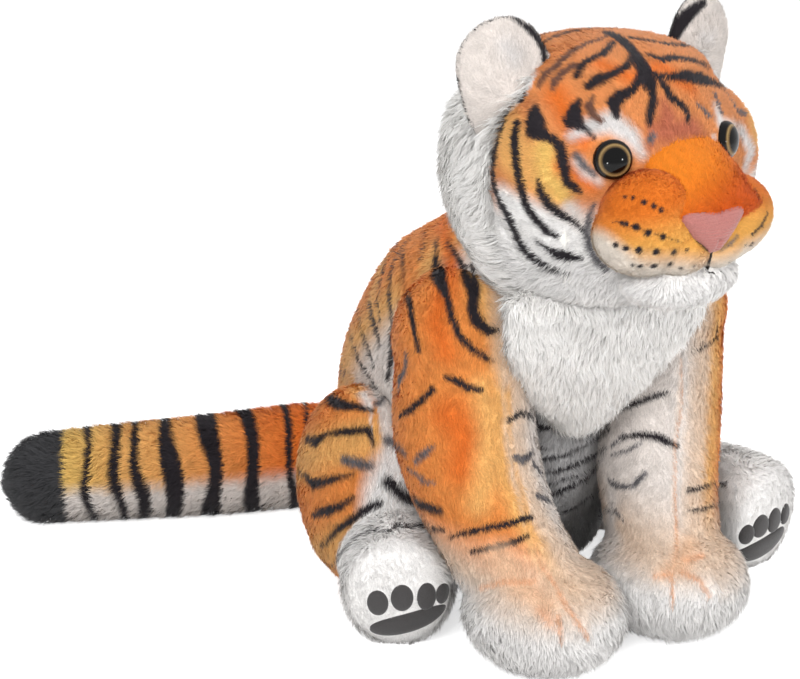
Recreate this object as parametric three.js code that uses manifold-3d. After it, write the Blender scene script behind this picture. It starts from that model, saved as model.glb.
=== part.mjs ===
// A seated plush tiger, sewn from fabric skins over stuffing.
// Millimetres, +Z up. The tiger faces -Y and its left side is +X.
// The origin is the middle of the flat seat, on the ground.
import * as THREE from 'three';
import { mergeVertices } from 'three/addons/utils/BufferGeometryUtils.js';
import Module from 'manifold-3d';

const wasm = await Module();
wasm.setup();

// Overall sizes of the stuffed forms.
const TORSO_HEIGHT = 232;
const TORSO_WIDTH = 172;
const TORSO_DEPTH = 212;
const HEAD_HEIGHT = 137;
const HEAD_WIDTH = 178;
const HEAD_DEPTH = 162;
const FRONT_LEG_HEIGHT = 185;
const FRONT_LEG_WIDTH = 86;
const FRONT_LEG_DEPTH = 92;
const HAUNCH_HEIGHT = 134;
const HAUNCH_DEPTH = 112;
const HAUNCH_WIDTH = 78;
const RIGHT_FOOT_LENGTH = 90;
const LEFT_FOOT_LENGTH = 114;
const FOOT_WIDTH = 66;
const FOOT_HEIGHT = 74;
const TAIL_LENGTH = 264;
const TAIL_THICKNESS = 66;
const EAR_WIDTH = 56;
const EAR_HEIGHT = 68;
const EAR_THICKNESS = 14;
const BIB_LENGTH = 96;
const BIB_WIDTH = 146;
const BIB_THICKNESS = 32;
const BRIDGE_WIDTH = 62;
const BRIDGE_THICKNESS = 32;
const WHISKER_PAD_WIDTH = 72;
const WHISKER_PAD_HEIGHT = 52;
const WHISKER_PAD_DEPTH = 48;
const CHIN_WIDTH = 72;
const CHIN_HEIGHT = 32;
const CHIN_DEPTH = 46;
const NOSE_WIDTH = 42;
const NOSE_HEIGHT = 28;
const NOSE_DEPTH = 12;
const MOUTH_THREAD_RADIUS = 1.5;
const EYE_DIAMETER = 22;
const EYE_BULGE = 6.5;
const EYE_DISC = 1.2;
const SHANK_DIAMETER = 4.4;
const SHANK_LENGTH = 13;
const WASHER_DIAMETER = 18;
const WASHER_THICKNESS = 1.6;
const WASHER_DEPTH = 5.4;
const TOE_PAD_THICKNESS = 1.2;
const PELLET_BAG_WIDTH = 104;
const PELLET_BAG_DEPTH = 106;
const PELLET_BAG_HEIGHT = 56;

// Fabric, seams and clearances.
const SKIN = 2.6;
const SEAM_GAP = 0.3;
const SWING_GAP = 0.6;
const SOCKET_GAP = 0.9;
const FLOOR_CUT = 0.5;
const OVERRUN = 400;

// Where the parts sit.
const NECK_FORWARD = 90;
const SHOULDER_HALF_SPAN = 72;
const SHOULDER_LEFT_SHIFT = 8;
const PAW_RIGHT_SHIFT = 8;
const SHOULDER_FORWARD = 93;
const HIP_HALF_SPAN = 92;
const HIP_FORWARD = 16;
const RIGHT_FOOT_SPREAD = 28;
const LEFT_FOOT_SPREAD = 57;
const TAIL_ROOT_BACKWARD = 88;
const TAIL_ROOT_RIGHT_SHIFT = 8;
const BIB_TOP_FORWARD = 153;
const EAR_HALF_SPAN = 60;
const EAR_ROOT_HEIGHT = 88;
const EAR_FORWARD = 46;
const EYE_HALF_SPAN = 41;
const EYE_HEIGHT = 82;
const BRIDGE_HEIGHT = 65;
const WHISKER_PAD_HALF_SPAN = 24;
const WHISKER_PADS_HEIGHT = 41;
const NOSE_CENTRE_HEIGHT = 45;
const NOSE_PROUD = 30;
const CHIN_CENTRE_HEIGHT = 12;
const FACE_SEAM_FORWARD = 56;

// Angles, in degrees.
const HEAD_TURN = 3;
const NECK_TILT = 15;
const EAR_OUTWARD_TURN = 12;
const EAR_FOLD = 12;
const FRONT_LEG_SWING = 25;
const HIND_LEG_SPLAY = 20;
const TAIL_SWING = 15;

const COLOURS = {
  orange: 0xc9823f,
  deepOrange: 0xd97a26,
  white: 0xddd9d4,
  cream: 0xcdb49c,
  black: 0x2c2a2a,
  grey: 0x575757,
  pink: 0xd28c84,
  amber: 0x8a6a2c,
  fibre: 0xf2f0ea,
  cotton: 0xe4ddcf,
  plastic: 0x1d1b1a,
};

const X_AXIS = new THREE.Vector3(1, 0, 0);
const Y_AXIS = new THREE.Vector3(0, 1, 0);
const Z_AXIS = new THREE.Vector3(0, 0, 1);
const tiger = new THREE.Group();
tiger.name = 'plush_tiger';
const head = new THREE.Group();
const neckPoint = new THREE.Vector3(0, -NECK_FORWARD, TORSO_HEIGHT);
const neckAxis = Z_AXIS.clone().applyAxisAngle(X_AXIS, THREE.MathUtils.degToRad(NECK_TILT));
head.position.copy(neckPoint);
head.quaternion.setFromAxisAngle(neckAxis, THREE.MathUtils.degToRad(HEAD_TURN));
tiger.add(head);

function material(colour, roughness = 0.95) {
  return new THREE.MeshStandardMaterial({ color: colour, roughness, metalness: 0 });
}

function addPart(group, name, solid, surface) {
  const mesh = new THREE.Mesh(geometryOf(solid), surface);
  mesh.name = name;
  group.add(mesh);
}

// Only the places of the corners are kept, so that shared corners merge.
function solidOf(geometry) {
  const bare = geometry.clone();
  bare.deleteAttribute('normal');
  bare.deleteAttribute('uv');
  const merged = mergeVertices(bare);
  return new wasm.Manifold(new wasm.Mesh({
    numProp: 3,
    vertProperties: new Float32Array(merged.attributes.position.array),
    triVerts: new Uint32Array(merged.index.array),
  }));
}

function geometryOf(solid) {
  const mesh = solid.getMesh();
  const geometry = new THREE.BufferGeometry();
  geometry.setAttribute('position', new THREE.BufferAttribute(mesh.vertProperties, 3));
  geometry.setIndex(new THREE.BufferAttribute(mesh.triVerts, 1));
  geometry.computeVertexNormals();
  return geometry;
}

function joined(solids) {
  return solids.reduce((whole, solid) => whole.add(solid));
}

function cut(solid, cutters) {
  return cutters.reduce((rest, cutter) => rest.subtract(cutter), solid);
}

// Everything on the -Z side of a height.
function below(height) {
  const block = new THREE.BoxGeometry(OVERRUN * 2, OVERRUN * 2, OVERRUN);
  return solidOf(block.translate(0, 0, height - OVERRUN / 2));
}

// A block on the side of a plane through a point that the plane's normal points to.
function blockBeyond(point, normal) {
  const block = new THREE.BoxGeometry(OVERRUN * 2, OVERRUN * 2, OVERRUN);
  block.translate(0, 0, OVERRUN / 2);
  block.applyQuaternion(new THREE.Quaternion().setFromUnitVectors(Z_AXIS, normal));
  return block.translate(point.x, point.y, point.z);
}

function beyond(point, normal) {
  return solidOf(blockBeyond(point, normal));
}

// A geometry turned about an axis through a point.
function turned(geometry, point, axis, degrees) {
  const copy = geometry.clone();
  copy.translate(-point.x, -point.y, -point.z);
  copy.applyMatrix4(new THREE.Matrix4().makeRotationAxis(axis, THREE.MathUtils.degToRad(degrees)));
  return copy.translate(point.x, point.y, point.z);
}

// A geometry at each of the places that a joint takes it to, as one cutter.
function swept(geometry, point, axis, angles) {
  return joined(angles.map((angle) => solidOf(turned(geometry, point, axis, angle))));
}

// An egg shape, half sizes along X, Y and Z.
function ball(centre, halves, grow = 0, segments = 12) {
  const geometry = new THREE.SphereGeometry(1, segments, segments / 2).rotateX(Math.PI / 2);
  geometry.scale(halves.x + grow, halves.y + grow, halves.z + grow);
  return geometry.translate(centre.x, centre.y, centre.z);
}

// How far round to its pole each ring of a dome lies.
const domeTurnShares = [0.42, 0.78];

// A stuffed form: oval sections along a curve, with a dome at each end.
// Level forms keep their sections flat; others turn them square to the curve.
class StuffedForm {
  constructor({ centres, halves, domes, sideways = X_AXIS, level = false, sides = 24, steps = 12 }) {
    this.centreCurve = new THREE.CatmullRomCurve3(centres);
    this.halfCurve = new THREE.CatmullRomCurve3(halves);
    Object.assign(this, { domes, sideways, level, sides, steps });
  }

  frame(t) {
    if (this.level) return { along: Z_AXIS, wide: X_AXIS, deep: Y_AXIS };
    const along = this.centreCurve.getTangent(t);
    const wide = this.sideways.clone().addScaledVector(along, -this.sideways.dot(along)).normalize();
    const deep = new THREE.Vector3().crossVectors(along, wide);
    return { along, wide, deep };
  }

  ring(t, shift, scale, grow) {
    const { along, wide, deep } = this.frame(t);
    const centre = this.centreCurve.getPoint(t).addScaledVector(along, shift);
    const half = this.halfCurve.getPoint(t);
    return Array.from({ length: this.sides }, (_, side) => {
      const angle = (side / this.sides) * Math.PI * 2;
      return centre.clone()
        .addScaledVector(wide, (half.x + grow) * scale * Math.cos(angle))
        .addScaledVector(deep, (half.y + grow) * scale * Math.sin(angle));
    });
  }

  dome(end, grow) {
    const depth = this.domes[end] + grow;
    const direction = end === 0 ? -1 : 1;
    const rings = domeTurnShares.map((turnShare) => {
      const angle = turnShare * Math.PI / 2;
      return this.ring(end, direction * depth * Math.sin(angle), Math.cos(angle), grow);
    });
    const { along } = this.frame(end);
    const pole = this.centreCurve.getPoint(end).addScaledVector(along, direction * depth);
    return { rings, pole };
  }

  geometry(grow = 0) {
    const start = this.dome(0, grow);
    const finish = this.dome(1, grow);
    const middle = Array.from({ length: this.steps + 1 }, (_, step) => this.ring(step / this.steps, 0, 1, grow));
    const rings = [...start.rings.reverse(), ...middle, ...finish.rings];
    return stitched(rings, start.pole, finish.pole);
  }

  solid(grow = 0) {
    return solidOf(this.geometry(grow));
  }

  // The place and outward direction of a level form's front, at an x and a height.
  front(x, height) {
    const place = (atX, atHeight) => {
      let [low, high] = [0, 1];
      for (let pass = 0; pass < 30; pass += 1) {
        const middle = (low + high) / 2;
        if (this.centreCurve.getPoint(middle).z < atHeight) low = middle;
        else high = middle;
      }
      const centre = this.centreCurve.getPoint(low);
      const half = this.halfCurve.getPoint(low);
      const y = centre.y - half.y * Math.sqrt(1 - (atX / half.x) ** 2);
      return new THREE.Vector3(atX, y, atHeight);
    };
    const point = place(x, height);
    const acrossX = place(x + SEAM_GAP, height).sub(point);
    const acrossZ = place(x, height + SEAM_GAP).sub(point);
    return { point, normal: acrossX.cross(acrossZ).normalize() };
  }
}

// Rings of corners joined into one closed surface, with a corner at each end.
function stitched(rings, startPole, endPole) {
  const sides = rings[0].length;
  const corners = [startPole, ...rings.flat(), endPole];
  const last = corners.length - 1;
  const at = (ring, side) => 1 + ring * sides + (side % sides);
  const faces = [];
  for (let side = 0; side < sides; side += 1) {
    faces.push(0, at(0, side + 1), at(0, side));
    faces.push(last, at(rings.length - 1, side), at(rings.length - 1, side + 1));
    for (let ring = 0; ring + 1 < rings.length; ring += 1) {
      faces.push(at(ring, side), at(ring, side + 1), at(ring + 1, side + 1));
      faces.push(at(ring, side), at(ring + 1, side + 1), at(ring + 1, side));
    }
  }
  const geometry = new THREE.BufferGeometry().setFromPoints(corners);
  geometry.setIndex(faces);
  return geometry;
}

const vector = (x, y, z) => new THREE.Vector3(x, y, z);
const oval = (wide, deep) => new THREE.Vector3(wide, deep, 0);

// The torso leans forward from a broad seat to the neck seam.
// Each row: height, how far back, half width, half depth.
const torsoShares = [
  [0.13, 0.0, 0.488, 0.462],
  [0.32, -0.009, 0.5, 0.5],
  [0.56, -0.042, 0.477, 0.495],
  [0.776, -0.16, 0.455, 0.455],
  [0.927, -0.27, 0.43, 0.41],
  [1.03, -0.38, 0.38, 0.32],
  [1.09, -0.42, 0.35, 0.27],
];

function torsoForm(sides, steps) {
  const firstHeight = torsoShares[0][0] * TORSO_HEIGHT;
  return new StuffedForm({
    centres: torsoShares.map(([up, back]) => vector(0, back * TORSO_DEPTH, up * TORSO_HEIGHT)),
    halves: torsoShares.map(([, , wide, deep]) => oval(wide * TORSO_WIDTH, deep * TORSO_DEPTH)),
    domes: [firstHeight + FLOOR_CUT, SKIN * 4],
    level: true,
    sides,
    steps,
  });
}

// The skull above the neck seam, in the head's own frame.
// Each row: height above the seam, half width, half depth.
const skullForwardShare = 0.22;
const skullLowDomeShare = 0.16;
const skullShares = [
  [0.04, 0.43, 0.43],
  [0.2, 0.5, 0.49],
  [0.42, 0.505, 0.5],
  [0.64, 0.49, 0.48],
  [0.83, 0.38, 0.38],
];

function skullForm(sides, steps) {
  const lastShare = skullShares[skullShares.length - 1][0];
  const back = -skullForwardShare * HEAD_DEPTH;
  return new StuffedForm({
    centres: skullShares.map(([up]) => vector(0, back, up * HEAD_HEIGHT)),
    halves: skullShares.map(([, wide, deep]) => oval(wide * HEAD_WIDTH, deep * HEAD_DEPTH)),
    domes: [skullLowDomeShare * HEAD_HEIGHT, (1 - lastShare) * HEAD_HEIGHT],
    level: true,
    sides,
    steps,
  });
}

// Each inner form has every second corner of its outer one.
const torso = torsoForm(16, 6);
const torsoInside = torsoForm(8, 3);
const skull = skullForm(16, 6);
const skullInside = skullForm(8, 3);
const skullFront = -skullForwardShare * HEAD_DEPTH - HEAD_DEPTH / 2;

const FLOOR = below(0);
const INNER_FLOOR = below(SKIN + SEAM_GAP);
const HEAD_SIDE = beyond(neckPoint, neckAxis);
const NECK_SIDE = beyond(neckAxis.clone().multiplyScalar(SEAM_GAP), neckAxis.clone().negate());
const sideName = (side) => (side > 0 ? 'left' : 'right');
const anglesTo = (limit, count) => Array.from({ length: count }, (_, step) => limit * step / (count - 1));

// The torso where it would be if the limb were the still part.
function torsoSpace(point, axis, angles, gap = SWING_GAP) {
  return swept(torso.geometry(gap), point, axis, angles.map((angle) => -angle));
}

// Front legs: a round shoulder, a limb that tapers and comes forward, and a broad paw.
// Each row: inward and forward of the shoulder, height, half width, half depth.
const frontLegShares = [
  [0.0, 0.02, 0.93, 0.47, 0.49],
  [0.0, 0.1, 0.68, 0.49, 0.46],
  [0.12, 0.4, 0.4, 0.42, 0.4],
  [0.26, 0.72, 0.22, 0.38, 0.37],
];
const pawShares = { inward: 0.29, forward: 0.8, wide: 0.54, deep: 0.53, high: 0.38 };

function frontLegPlace(side, inward, forward, height) {
  const lean = THREE.MathUtils.lerp(-PAW_RIGHT_SHIFT, SHOULDER_LEFT_SHIFT, height / FRONT_LEG_HEIGHT);
  return vector(
    side * (SHOULDER_HALF_SPAN - inward * FRONT_LEG_WIDTH) + lean,
    -SHOULDER_FORWARD - forward * FRONT_LEG_DEPTH,
    height,
  );
}

function frontLimb(side, sides, steps) {
  return new StuffedForm({
    centres: frontLegShares.map(([inward, forward, up]) => (
      frontLegPlace(side, inward, forward, up * FRONT_LEG_HEIGHT))),
    halves: frontLegShares.map(([, , , wide, deep]) => (
      oval(wide * FRONT_LEG_WIDTH, deep * FRONT_LEG_DEPTH))),
    domes: [SKIN * 4, SKIN * 3],
    sides,
    steps,
  });
}

function shoulderBall(side, grow) {
  const halves = vector(FRONT_LEG_WIDTH / 2, FRONT_LEG_DEPTH / 2, FRONT_LEG_DEPTH / 2);
  return solidOf(ball(frontLegPlace(side, 0, 0, FRONT_LEG_HEIGHT), halves, grow));
}

function pawBall(side, grow) {
  const { inward, forward, wide, deep, high } = pawShares;
  const halves = vector(wide * FRONT_LEG_WIDTH, deep * FRONT_LEG_DEPTH, high * FRONT_LEG_WIDTH);
  return solidOf(ball(frontLegPlace(side, inward, forward, halves.z - FLOOR_CUT), halves, grow));
}

function frontLegSolid(side, grow, sides, steps) {
  return joined([
    frontLimb(side, sides, steps).solid(grow),
    pawBall(side, grow),
    shoulderBall(side, grow),
  ]);
}

function makeFrontLeg(side) {
  const name = `front_leg_${sideName(side)}`;
  const shoulder = frontLegPlace(side, 0, 0, FRONT_LEG_HEIGHT);
  const angles = anglesTo(-FRONT_LEG_SWING, 3);
  const bodySpace = torsoSpace(shoulder, X_AXIS, angles);
  const headSpace = swept(blockBeyond(neckPoint, neckAxis), shoulder, X_AXIS, angles.map((angle) => -angle));
  const outside = cut(frontLegSolid(side, 0, 12, 4), [FLOOR, bodySpace, headSpace]);
  const inside = frontLegSolid(side, -SKIN, 6, 4);
  addPart(tiger, `${name}_skin`, outside.subtract(inside), material(COLOURS.orange));
  const filling = frontLegSolid(side, -SKIN - SEAM_GAP, 6, 4);
  const innerSpace = torsoSpace(shoulder, X_AXIS, [0, -FRONT_LEG_SWING], SKIN);
  const stuffing = cut(filling, [INNER_FLOOR, innerSpace, headSpace]);
  addPart(tiger, `${name}_stuffing`, stuffing, material(COLOURS.fibre));
}

// Hind legs: a round haunch beside the seat, and a foot that points forward and out.
// Each row: forward, half width, half height, then how much of the spread each foot has there.
const hindLegShares = [
  [-0.3, 0.4, 0.44, 0.0, 0.0],
  [0.4, 0.48, 0.5, 0.15, 0.42],
  [0.76, 0.5, 0.5, 0.5, 0.88],
  [1.0, 0.49, 0.485, 1.0, 1.0],
];
const soleDomeShare = 0.16;
const soleCutShare = 0.1;

function hindFoot(side, sides, steps) {
  const spread = side > 0 ? LEFT_FOOT_SPREAD : RIGHT_FOOT_SPREAD;
  const length = side > 0 ? LEFT_FOOT_LENGTH : RIGHT_FOOT_LENGTH;
  return new StuffedForm({
    centres: hindLegShares.map(([forward, , high, right, left]) => vector(
      side * (HIP_HALF_SPAN + (side > 0 ? left : right) * spread),
      -HIP_FORWARD - forward * length,
      high * FOOT_HEIGHT - FLOOR_CUT,
    )),
    halves: hindLegShares.map(([, wide, high]) => oval(wide * FOOT_WIDTH, high * FOOT_HEIGHT)),
    domes: [SKIN * 4, soleDomeShare * FOOT_WIDTH],
    sides,
    steps,
  });
}

// The flat sole: a point on it, and its outward, sideways and upward directions.
function solePlane(side) {
  const foot = hindFoot(side, 8, 2);
  const { along, wide, deep } = foot.frame(1);
  const point = foot.centreCurve.getPoint(1).addScaledVector(along, soleCutShare * FOOT_WIDTH);
  const up = deep.z > 0 ? deep : deep.clone().negate();
  return { point, normal: along, right: wide, up };
}

const hipPlace = (side) => vector(side * HIP_HALF_SPAN, -HIP_FORWARD, HAUNCH_HEIGHT / 2 - FLOOR_CUT);

function hindLegSolid(side, grow, sides, steps) {
  const halves = vector(HAUNCH_WIDTH / 2, HAUNCH_DEPTH / 2, HAUNCH_HEIGHT / 2);
  const { point, normal } = solePlane(side);
  const foot = hindFoot(side, sides, steps).solid(grow);
  const haunch = solidOf(ball(hipPlace(side), halves, grow));
  return foot.add(haunch).subtract(beyond(point.addScaledVector(normal, grow), normal));
}

function makeHindLeg(side) {
  const name = `hind_leg_${sideName(side)}`;
  const splay = side * HIND_LEG_SPLAY;
  const bodySpace = torsoSpace(hipPlace(side), Z_AXIS, anglesTo(splay, 3));
  const outside = cut(hindLegSolid(side, 0, 12, 4), [FLOOR, bodySpace]);
  const inside = hindLegSolid(side, -SKIN, 6, 4);
  addPart(tiger, `${name}_skin`, outside.subtract(inside), material(COLOURS.orange));
  const filling = hindLegSolid(side, -SKIN - SEAM_GAP, 6, 4);
  const innerSpace = torsoSpace(hipPlace(side), Z_AXIS, [0, splay], SKIN);
  const stuffing = cut(filling, [INNER_FLOOR, innerSpace]);
  addPart(tiger, `${name}_stuffing`, stuffing, material(COLOURS.fibre));
}

// Four toe pads in a row over a wide main pad.
// Each row: sideways and up from the middle of the sole, half width, half height.
const toePadShares = [
  [-0.27, -0.02, 0.085, 0.09],
  [-0.09, 0.05, 0.09, 0.1],
  [0.1, 0.05, 0.09, 0.1],
  [0.27, -0.01, 0.08, 0.09],
];
const mainPadShares = [0.0, -0.2, 0.3, 0.095];

function makeSolePad(side, name, [sideways, up, wide, high]) {
  const sole = solePlane(side);
  const shape = new THREE.Shape().absellipse(
    sideways * FOOT_WIDTH, up * FOOT_WIDTH, wide * FOOT_WIDTH, high * FOOT_WIDTH, 0, Math.PI * 2);
  const geometry = new THREE.ExtrudeGeometry(shape, {
    depth: TOE_PAD_THICKNESS, bevelEnabled: false, curveSegments: 6 });
  const right = new THREE.Vector3().crossVectors(sole.up, sole.normal);
  geometry.translate(0, 0, SEAM_GAP);
  geometry.applyMatrix4(new THREE.Matrix4().makeBasis(right, sole.up, sole.normal));
  geometry.translate(sole.point.x, sole.point.y, sole.point.z);
  addPart(tiger, `${name}_${sideName(side)}`, solidOf(geometry), material(COLOURS.grey));
}

function makeSolePads(side) {
  toePadShares.forEach((row, index) => makeSolePad(side, `toe_pad_${index + 1}`, row));
  makeSolePad(side, 'main_pad', mainPadShares);
}

// The tail leaves low on the back, lies on the ground and sweeps to the right.
// Each row: to the right, backward, half thickness.
const tailShares = [
  [0.0, 0.0, 0.5],
  [0.2, 0.12, 0.53],
  [0.44, 0.2, 0.51],
  [0.68, 0.3, 0.48],
  [0.86, 0.38, 0.44],
];

const tailRoot = vector(-TAIL_ROOT_RIGHT_SHIFT, TAIL_ROOT_BACKWARD, TAIL_THICKNESS / 2 - FLOOR_CUT);

function tailForm(sides, steps) {
  const tipHalf = tailShares[tailShares.length - 1][2] * TAIL_THICKNESS;
  return new StuffedForm({
    centres: tailShares.map(([right, back, half]) => vector(
      -TAIL_ROOT_RIGHT_SHIFT - right * TAIL_LENGTH,
      TAIL_ROOT_BACKWARD + back * TAIL_LENGTH,
      half * TAIL_THICKNESS - FLOOR_CUT,
    )),
    halves: tailShares.map(([, , half]) => oval(half * TAIL_THICKNESS, half * TAIL_THICKNESS)),
    domes: [SKIN * 4, tipHalf],
    sideways: Z_AXIS,
    sides,
    steps,
  });
}

// The round root of the tail turns in a socket of the torso with the same centre.
function tailBall(grow) {
  const half = TAIL_THICKNESS / 2;
  return solidOf(ball(tailRoot, vector(half, half, half), grow, 16));
}

function tailSolid(grow, sides, steps) {
  const bodySpace = torsoSpace(tailRoot, Z_AXIS, [-TAIL_SWING, 0, TAIL_SWING], SWING_GAP - grow);
  return tailForm(sides, steps).solid(grow).subtract(bodySpace).add(tailBall(grow));
}

function makeTail() {
  const outside = tailSolid(0, 12, 6).subtract(FLOOR);
  const inside = tailSolid(-SKIN, 6, 6);
  addPart(tiger, 'tail_skin', cut(outside, [inside, tailMouth()]), material(COLOURS.orange));
  const filling = tailSolid(-SKIN - SEAM_GAP, 6, 6);
  addPart(tiger, 'tail_stuffing', filling.subtract(INNER_FLOOR), material(COLOURS.fibre));
}

// The open end of the tail's skin, inside the torso.
const tailMouthShare = 0.25;

function tailMouth() {
  const radius = tailMouthShare * TAIL_THICKNESS;
  const tube = new THREE.CylinderGeometry(radius, radius, TAIL_THICKNESS, 10).rotateX(Math.PI / 2);
  return solidOf(tube.translate(tailRoot.x, tailRoot.y - radius, tailRoot.z));
}

function makeTorso() {
  const socket = tailBall(SOCKET_GAP);
  const inside = torsoInside.solid(-SKIN);
  const skin = cut(torso.solid(), [inside, FLOOR, HEAD_SIDE, socket]);
  addPart(tiger, 'torso_skin', skin, material(COLOURS.orange));

  const bagCentre = vector(0, 0, PELLET_BAG_HEIGHT / 2);
  const bagHalves = vector(PELLET_BAG_WIDTH / 2, PELLET_BAG_DEPTH / 2, PELLET_BAG_HEIGHT / 2);
  const whole = torsoInside.solid(-SKIN - SEAM_GAP);
  const filling = cut(whole, [INNER_FLOOR, tailBall(SOCKET_GAP + SEAM_GAP), HEAD_SIDE]);
  const bag = solidOf(ball(bagCentre, bagHalves)).intersect(filling);
  addPart(tiger, 'seat_pellet_bag', bag, material(COLOURS.cotton));
  const stuffing = filling.subtract(solidOf(ball(bagCentre, bagHalves, SEAM_GAP)));
  addPart(tiger, 'torso_stuffing', stuffing, material(COLOURS.fibre));
}

// The white bib hangs from the neck seam over the chest and ends in a point.
// Each row: down, backward, half width, half thickness.
const bibShares = [
  [0.08, 0.0, 0.5, 0.5],
  [0.38, 0.06, 0.46, 0.47],
  [0.74, 0.19, 0.3, 0.4],
  [1.0, 0.29, 0.12, 0.28],
];

function makeBib() {
  const bib = new StuffedForm({
    centres: bibShares.map(([down, back]) => vector(
      0, -BIB_TOP_FORWARD + back * BIB_LENGTH, TORSO_HEIGHT - down * BIB_LENGTH)),
    halves: bibShares.map(([, , wide, thick]) => oval(wide * BIB_WIDTH, thick * BIB_THICKNESS)),
    domes: [SKIN * 3, SKIN * 3],
    sides: 16,
    steps: 5,
  });
  const legSpaces = [-1, 1].map((side) => {
    const shoulder = frontLegPlace(side, 0, 0, FRONT_LEG_HEIGHT);
    const limb = frontLimb(side, 12, 4).geometry(SEAM_GAP);
    return swept(limb, shoulder, X_AXIS, anglesTo(-FRONT_LEG_SWING, 3)).add(shoulderBall(side, SEAM_GAP));
  });
  const solid = cut(bib.solid(), [torso.solid(SEAM_GAP), HEAD_SIDE, ...legSpaces]);
  addPart(tiger, 'chest_bib', solid, material(COLOURS.white));
}

// Ears: a flat stuffed round, leaning out, with its root in a slot of the head.
// Each row: outward, up, half width, half thickness.
const earShares = [
  [0.0, 0.0, 0.4, 0.5],
  [0.12, 0.34, 0.5, 0.5],
  [0.22, 0.6, 0.47, 0.46],
];
const earTopDomeShare = 0.36;
const earFoldSteps = 16;

function earPose(side) {
  const turn = THREE.MathUtils.degToRad(EAR_OUTWARD_TURN) * side;
  return {
    root: vector(side * EAR_HALF_SPAN, -EAR_FORWARD, EAR_ROOT_HEIGHT),
    wide: vector(Math.cos(turn), Math.sin(turn), 0),
    facing: vector(Math.sin(turn), -Math.cos(turn), 0),
  };
}

function earForm(side) {
  const { root, wide } = earPose(side);
  return new StuffedForm({
    centres: earShares.map(([out, up]) => root.clone()
      .addScaledVector(wide, side * out * EAR_HEIGHT)
      .addScaledVector(Z_AXIS, up * EAR_HEIGHT)),
    halves: earShares.map(([, , half, thick]) => oval(half * EAR_WIDTH, thick * EAR_THICKNESS)),
    domes: [EAR_THICKNESS / 2, earTopDomeShare * EAR_HEIGHT],
    sideways: wide,
    sides: 10,
    steps: 3,
  });
}

function earSlot(side) {
  const { root, wide } = earPose(side);
  const angles = Array.from({ length: earFoldSteps + 1 }, (_, step) => (
    EAR_FOLD * (2 * step / earFoldSteps - 1)));
  return swept(earForm(side).geometry(SWING_GAP), root, wide, angles);
}

// The wider slot in the stuffing behind it.
function earRoom(side) {
  const { root } = earPose(side);
  const block = new THREE.BoxGeometry(EAR_WIDTH, EAR_THICKNESS * 2, EAR_HEIGHT * 2);
  block.translate(0, 0, EAR_HEIGHT - EAR_THICKNESS);
  block.rotateZ(THREE.MathUtils.degToRad(EAR_OUTWARD_TURN) * side);
  return solidOf(block.translate(root.x, root.y, root.z));
}

function makeEar(side) {
  const { root, facing } = earPose(side);
  const ear = earForm(side).solid();
  const half = SEAM_GAP / 2;
  const front = ear.intersect(beyond(root.clone().addScaledVector(facing, half), facing));
  const back = ear.subtract(beyond(root.clone().addScaledVector(facing, -half), facing));
  addPart(head, `ear_front_${sideName(side)}`, front, material(COLOURS.white));
  addPart(head, `ear_back_${sideName(side)}`, back, material(COLOURS.black));
}

// Places on the muzzle: an x, how far ahead of the skull, and the height over the neck seam.
const muzzlePlace = (x, proud, height) => vector(x, skullFront - proud, height);

// Each row: up the bridge from its middle, ahead of the skull, half width, half thickness.
const bridgeShares = [
  [0.22, -0.34, 0.36, 0.4],
  [0.0, 0.04, 0.47, 0.48],
  [-0.26, 0.42, 0.5, 0.46],
];
const bridgeDomeShares = [0.4, 0.3];

function bridgeSolid(grow) {
  return new StuffedForm({
    centres: bridgeShares.map(([up, proud]) => (
      muzzlePlace(0, proud * BRIDGE_THICKNESS, BRIDGE_HEIGHT + up * BRIDGE_WIDTH))),
    halves: bridgeShares.map(([, , wide, thick]) => (
      oval(wide * BRIDGE_WIDTH, thick * BRIDGE_THICKNESS))),
    domes: bridgeDomeShares.map((share) => share * BRIDGE_THICKNESS),
    sides: 12,
    steps: 4,
  }).solid(grow);
}

const padHalves = vector(WHISKER_PAD_WIDTH / 2, WHISKER_PAD_DEPTH / 2, WHISKER_PAD_HEIGHT / 2);
const padCentre = (side) => muzzlePlace(side * WHISKER_PAD_HALF_SPAN, SKIN, WHISKER_PADS_HEIGHT);
const chinHalves = vector(CHIN_WIDTH / 2, CHIN_DEPTH / 2, CHIN_HEIGHT / 2);
const chinCentre = muzzlePlace(0, 0, CHIN_CENTRE_HEIGHT);

function whiskerPad(side, grow) {
  return solidOf(ball(padCentre(side), padHalves, grow));
}

function chinSolid(grow) {
  return solidOf(ball(chinCentre, chinHalves, grow));
}

// A rounded triangle, point down.
// Each row: sideways and up from the middle, first the bend and then the end of an arc.
const noseStartShares = [-1, 0.7];
const noseArcShares = [
  [-1, 1, -0.7, 1],
  [0, 1, 0.7, 1],
  [1, 1, 1, 0.7],
  [0.7, -0.2, 0.2, -0.9],
  [0, -1.1, -0.2, -0.9],
  [-0.7, -0.2, -1, 0.7],
];

function noseSolid() {
  const half = NOSE_WIDTH / 2;
  const top = NOSE_HEIGHT / 2;
  const shape = new THREE.Shape();
  shape.moveTo(noseStartShares[0] * half, noseStartShares[1] * top);
  noseArcShares.forEach(([bendX, bendY, x, y]) => {
    shape.quadraticCurveTo(bendX * half, bendY * top, x * half, y * top);
  });
  const geometry = new THREE.ExtrudeGeometry(shape, {
    depth: NOSE_DEPTH, bevelEnabled: true, bevelSize: SKIN / 2, bevelThickness: SKIN, bevelSegments: 2,
    curveSegments: 4 });
  geometry.rotateX(Math.PI / 2);
  const place = muzzlePlace(0, NOSE_PROUD - NOSE_DEPTH, NOSE_CENTRE_HEIGHT);
  return solidOf(geometry.translate(place.x, place.y, place.z));
}

// How far back the front of an egg shape lies, at an x and a height.
function eggFront(centre, halves, x, height) {
  const rest = 1 - ((x - centre.x) / halves.x) ** 2 - ((height - centre.z) / halves.z) ** 2;
  return centre.y - halves.y * Math.sqrt(Math.max(rest, 0));
}

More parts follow.
